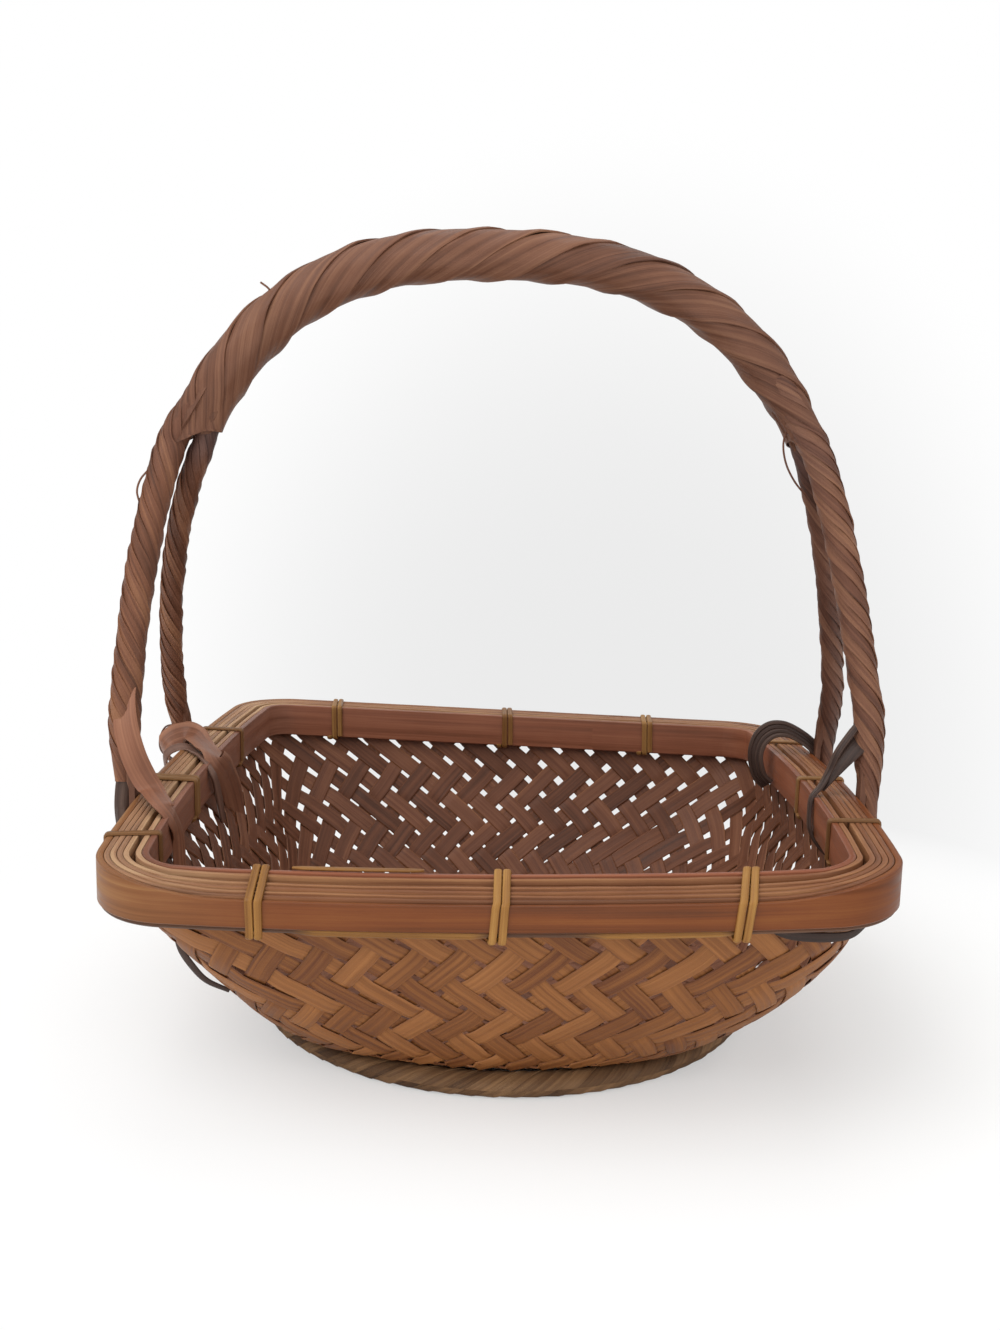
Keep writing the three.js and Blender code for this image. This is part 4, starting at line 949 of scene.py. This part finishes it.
# Double dark strip and a dark strap beside the front right leg
stack = Stack()
tie = np.array([(157.8, -21.5, 143), (154.6, -23.5, 136), (149.6, -26.5, 130.4), (144.2, -28, 122.4),
                (140.8, -28, 113.4), (137.6, -29, 107.4), (133.6, -31, 103), (132.6, -33, 96),
                (132.8, -35, 89.6), (135.8, -36, 83.6), (141.4, -38, 78.2)])
normals = [(-0.6, -0.7, 0.2)] * 4 + [(-0.6, -0.6, 0.4), (-0.7, -0.3, 0.6), (-0.9, 0, 0.4), (-1, 0, 0),
                                     (-1, 0, -0.1), (-0.8, 0, -0.6), (-0.6, 0, -0.8)]
aside = np.array([[0.3, -0.7, -0.5]] * 5 + [[0, -2.0, 0]] * 6) * 1.2
for k in range(2):
    lay(stack, tie + aside * k, normals, 2.5, 1.3, 653.3 + k * 3.1, rounded=True)
lay(stack, [(160, -23, 131), (156, -24.6, 128.6), (151, -27.5, 124.6), (146, -29.2, 118),
            (141.8, -29.4, 111), (138.4, -29.4, 105.6)],
    (-0.5, -0.8, 0.3), [7, 9.5, 10.5, 7.6, 4.4, 2.6], 1.0, 659.7)
stack.build("tie_front_right", dark_strip)

# Bare end of the front left leg, outside the rim. Its dark colour is partly the bare core's own and
# partly painted shade.
stack = Stack()
lay(stack, [(-156.6, -49, 122), (-157.8, -49.5, 113), (-159.4, -50, 104), (-160.2, -50, 95),
            (-160.2, -50, 84)],
    (0, -1, 0.1), [9, 8.4, 8, 7.6, 5.5], 4.6, 667.9, rounded=True)
stack.build("leg_end", dark_strip)

# Slivers that stand off the handle
stack = Stack()
for number, points in enumerate([
        [(121.5, -1, 263), (118.4, -2, 254), (119.8, -2, 245), (124.2, -1, 237), (129.5, 0, 231)],
        [(-158, -6, 236), (-162, -7, 231), (-163.3, -8, 226), (-162, -9, 221)],
        [(-103, -4, 309), (-105.5, -5, 313.4), (-109, -5, 316)]]):
    lay(stack, points, (0, -1, 0.2), 0.9, 0.6, 671.1 + number, rounded=True, shade=0.3)
stack.build("slivers", leg_strip)

# Loose dark strips that stand off the bowl, one at its left and one under the rim's right corner
stack = Stack()
lay(stack, [(-123, -112, 74), (-124.2, -104, 61), (-122.4, -104, 53.7), (-118.3, -104, 47.2),
            (-113, -104, 41.6), (-104, -103, 37)],
    (-0.4, -0.9, -0.3), [3, 3.6, 4, 4, 3.4, 2.2], 0.8, 691.3, rounded=True)
lay(stack, [(100, -139, 82), (106.4, -137.5, 79.6), (120.8, -136, 78.6), (129, -134.5, 79.6),
            (134.5, -132, 83)],
    (0.1, -0.9, -0.3), [3, 4, 4.4, 3.6, 2.4], 0.8, 697.7, rounded=True)
stack.build("loose_dark", dark_strip)

# Light strip along the front of the inner band
stack = Stack()
x = np.linspace(-74, -26, 13)
y = -134.2 + x * x / (2 * RIM_BOW)
top = rim_top(x, np.full(len(x), -150.0), RIM_DEPTH - 2) + 0.45
lay(stack, np.stack([x, y, top], -1), (0, -0.1, 1), [1.4] + [2.6] * (len(x) - 2) + [1.4], 0.7,
    683.3, per=3)
stack.build("light_strip", rattan_strip)


# Floor and backdrop, light, camera

def backdrop():
    front, bend, radius, height, steps = -2.5, 1.6, 1.2, 4.0, 12
    profile = [(front, 0.0)]
    for turn in np.linspace(0, pi / 2, steps + 1):
        profile.append((bend + radius * math.sin(turn), radius * (1 - math.cos(turn))))
    profile.append((bend + radius, height))
    points = [(x, y, z) for y, z in profile for x in (-5, 5)]
    faces = [(2 * i, 2 * i + 1, 2 * i + 3, 2 * i + 2) for i in range(len(profile) - 1)]
    mesh = bpy.data.meshes.new("floor")
    mesh.from_pydata(points, [], faces)
    mesh.shade_smooth()
    mesh.materials.append(floor_paint())
    floor = add_object("floor", mesh)


def floor_paint():
    """Pale paint. To the camera it also glows, so that it is white far off and shadows stay faint:
    less behind the object, least close to it, and not at all inside the foot ring."""
    viewer_x, viewer_away, viewer_height = 0.02, 0.607, 0.256
    grey_middle, grey_reach = (0.06, -0.26), (0.36, 0.46)
    foot_x, foot_y = (FOOT_X + MIDDLE) * MM, FOOT_Y * MM
    material, tree = new_material("floor_paint")
    shader = add_node(tree, "BsdfPrincipled", {"Base Color": (0.88, 0.88, 0.87, 1), "Roughness": 0.9,
                                               "Specular IOR Level": 0.0})
    position = add_node(tree, "NewGeometry", {}).outputs["Position"]
    x, y, z = add_node(tree, "SeparateXYZ", {0: position}).outputs

    def moved(value, centre, size=1.0):
        return calculate(tree, "DIVIDE", calculate(tree, "SUBTRACT", value, centre), size)

    def squares(a, b):
        return calculate(tree, "MULTIPLY_ADD", a, a, calculate(tree, "MULTIPLY", b, b))

    def ranged(value, low, high, to_low, to_high=1.0):
        return add_node(tree, "MapRange", {"Value": value, "From Min": low, "From Max": high,
                                           "To Min": to_low, "To Max": to_high},
                        interpolation_type="SMOOTHSTEP").outputs[0]

    away = calculate(tree, "ADD", y, viewer_away)
    aside = moved(moved(x, viewer_x, away), grey_middle[0], grey_reach[0])
    above = moved(moved(z, viewer_height, away), grey_middle[1], grey_reach[1])
    behind = ranged(y, 0.1, 0.9, 0.0)
    level = calculate(tree, "MAXIMUM", ranged(squares(aside, above), 0.0, 1.1, 0.83),
                      calculate(tree, "SUBTRACT", 1.0, behind))
    glow = add_node(tree, "Emission", {"Strength": level})
    near = calculate(tree, "SQRT", squares(moved(x, 0.06, 1.2), y))
    share = calculate(tree, "MAXIMUM", ranged(near, 0.1, 0.33, 0.4), behind)
    inside = calculate(tree, "SQRT", squares(moved(x, foot_x), moved(y, foot_y)))
    share = calculate(tree, "MULTIPLY", share, ranged(inside, 0.1, 0.107, 0.0))
    seen = add_node(tree, "LightPath", {}).outputs["Is Camera Ray"]
    blend = add_node(tree, "MixShader", {0: calculate(tree, "MULTIPLY", seen, share),
                                         1: shader.outputs[0], 2: glow.outputs[0]})
    add_node(tree, "OutputMaterial", {0: blend.outputs[0]})
    return material


backdrop()

# The world is white to the camera, and gives less light to the object
world = bpy.data.worlds.new("studio")
bpy.context.scene.world = world
world.use_nodes = True
sky = world.node_tree.nodes["Background"]
sky.inputs[0].default_value = (1.0, 1.0, 1.0, 1)
seen = add_node(world.node_tree, "LightPath", {}).outputs["Is Camera Ray"]
strength = add_node(world.node_tree, "MapRange", {"Value": seen, "To Min": 0.62, "To Max": 1.0})
world.node_tree.links.new(strength.outputs[0], sky.inputs[1])


def area(name, place, target_height, size, power):
    data = bpy.data.lights.new(name, "AREA")
    data.shape = "RECTANGLE"
    data.size, data.size_y = size
    data.energy = power
    lamp = add_object(name, data)
    lamp.location = place
    towards = Vector((0, 0, target_height)) - Vector(place)
    lamp.rotation_euler = towards.to_track_quat("-Z", "Y").to_euler()


area("key", (-1.0, -0.9, 1.6), 0.1, (1.6, 1.6), 24)
area("fill", (1.3, -1.1, 1.1), 0.1, (1.2, 1.0), 7)
area("low", (-0.1, -1.5, 0.12), 0.05, (1.6, 0.5), 3.5)
area("top", (0, 0.5, 1.9), 0.1, (1.6, 1.6), 12)

# Camera at the photograph's place: yaw, pitch and roll in radians, focal length and height in pixels
CAMERA_PLACE = (0.0080 + MIDDLE * MM, -0.6071, 0.2562)
YAW, PITCH_DOWN, ROLL = -0.0177, 0.1705, 0.0234
FOCAL, PHOTO_HEIGHT, SENSOR = 1367.16, 1330, 36
camera_data = bpy.data.cameras.new("camera")
camera = add_object("camera", camera_data)
matrix = Matrix.Translation(CAMERA_PLACE)
for angle, axis in ((-YAW, "Z"), (pi / 2 - PITCH_DOWN, "X"), (ROLL, "Z")):
    matrix = matrix @ Matrix.Rotation(angle, 4, axis)
camera.matrix_world = matrix
camera_data.sensor_fit = "VERTICAL"
camera_data.sensor_height = SENSOR
camera_data.lens = FOCAL / PHOTO_HEIGHT * SENSOR
camera_data.clip_start = 0.01
bpy.context.scene.camera = camera
bpy.context.scene.view_settings.view_transform = "Standard"
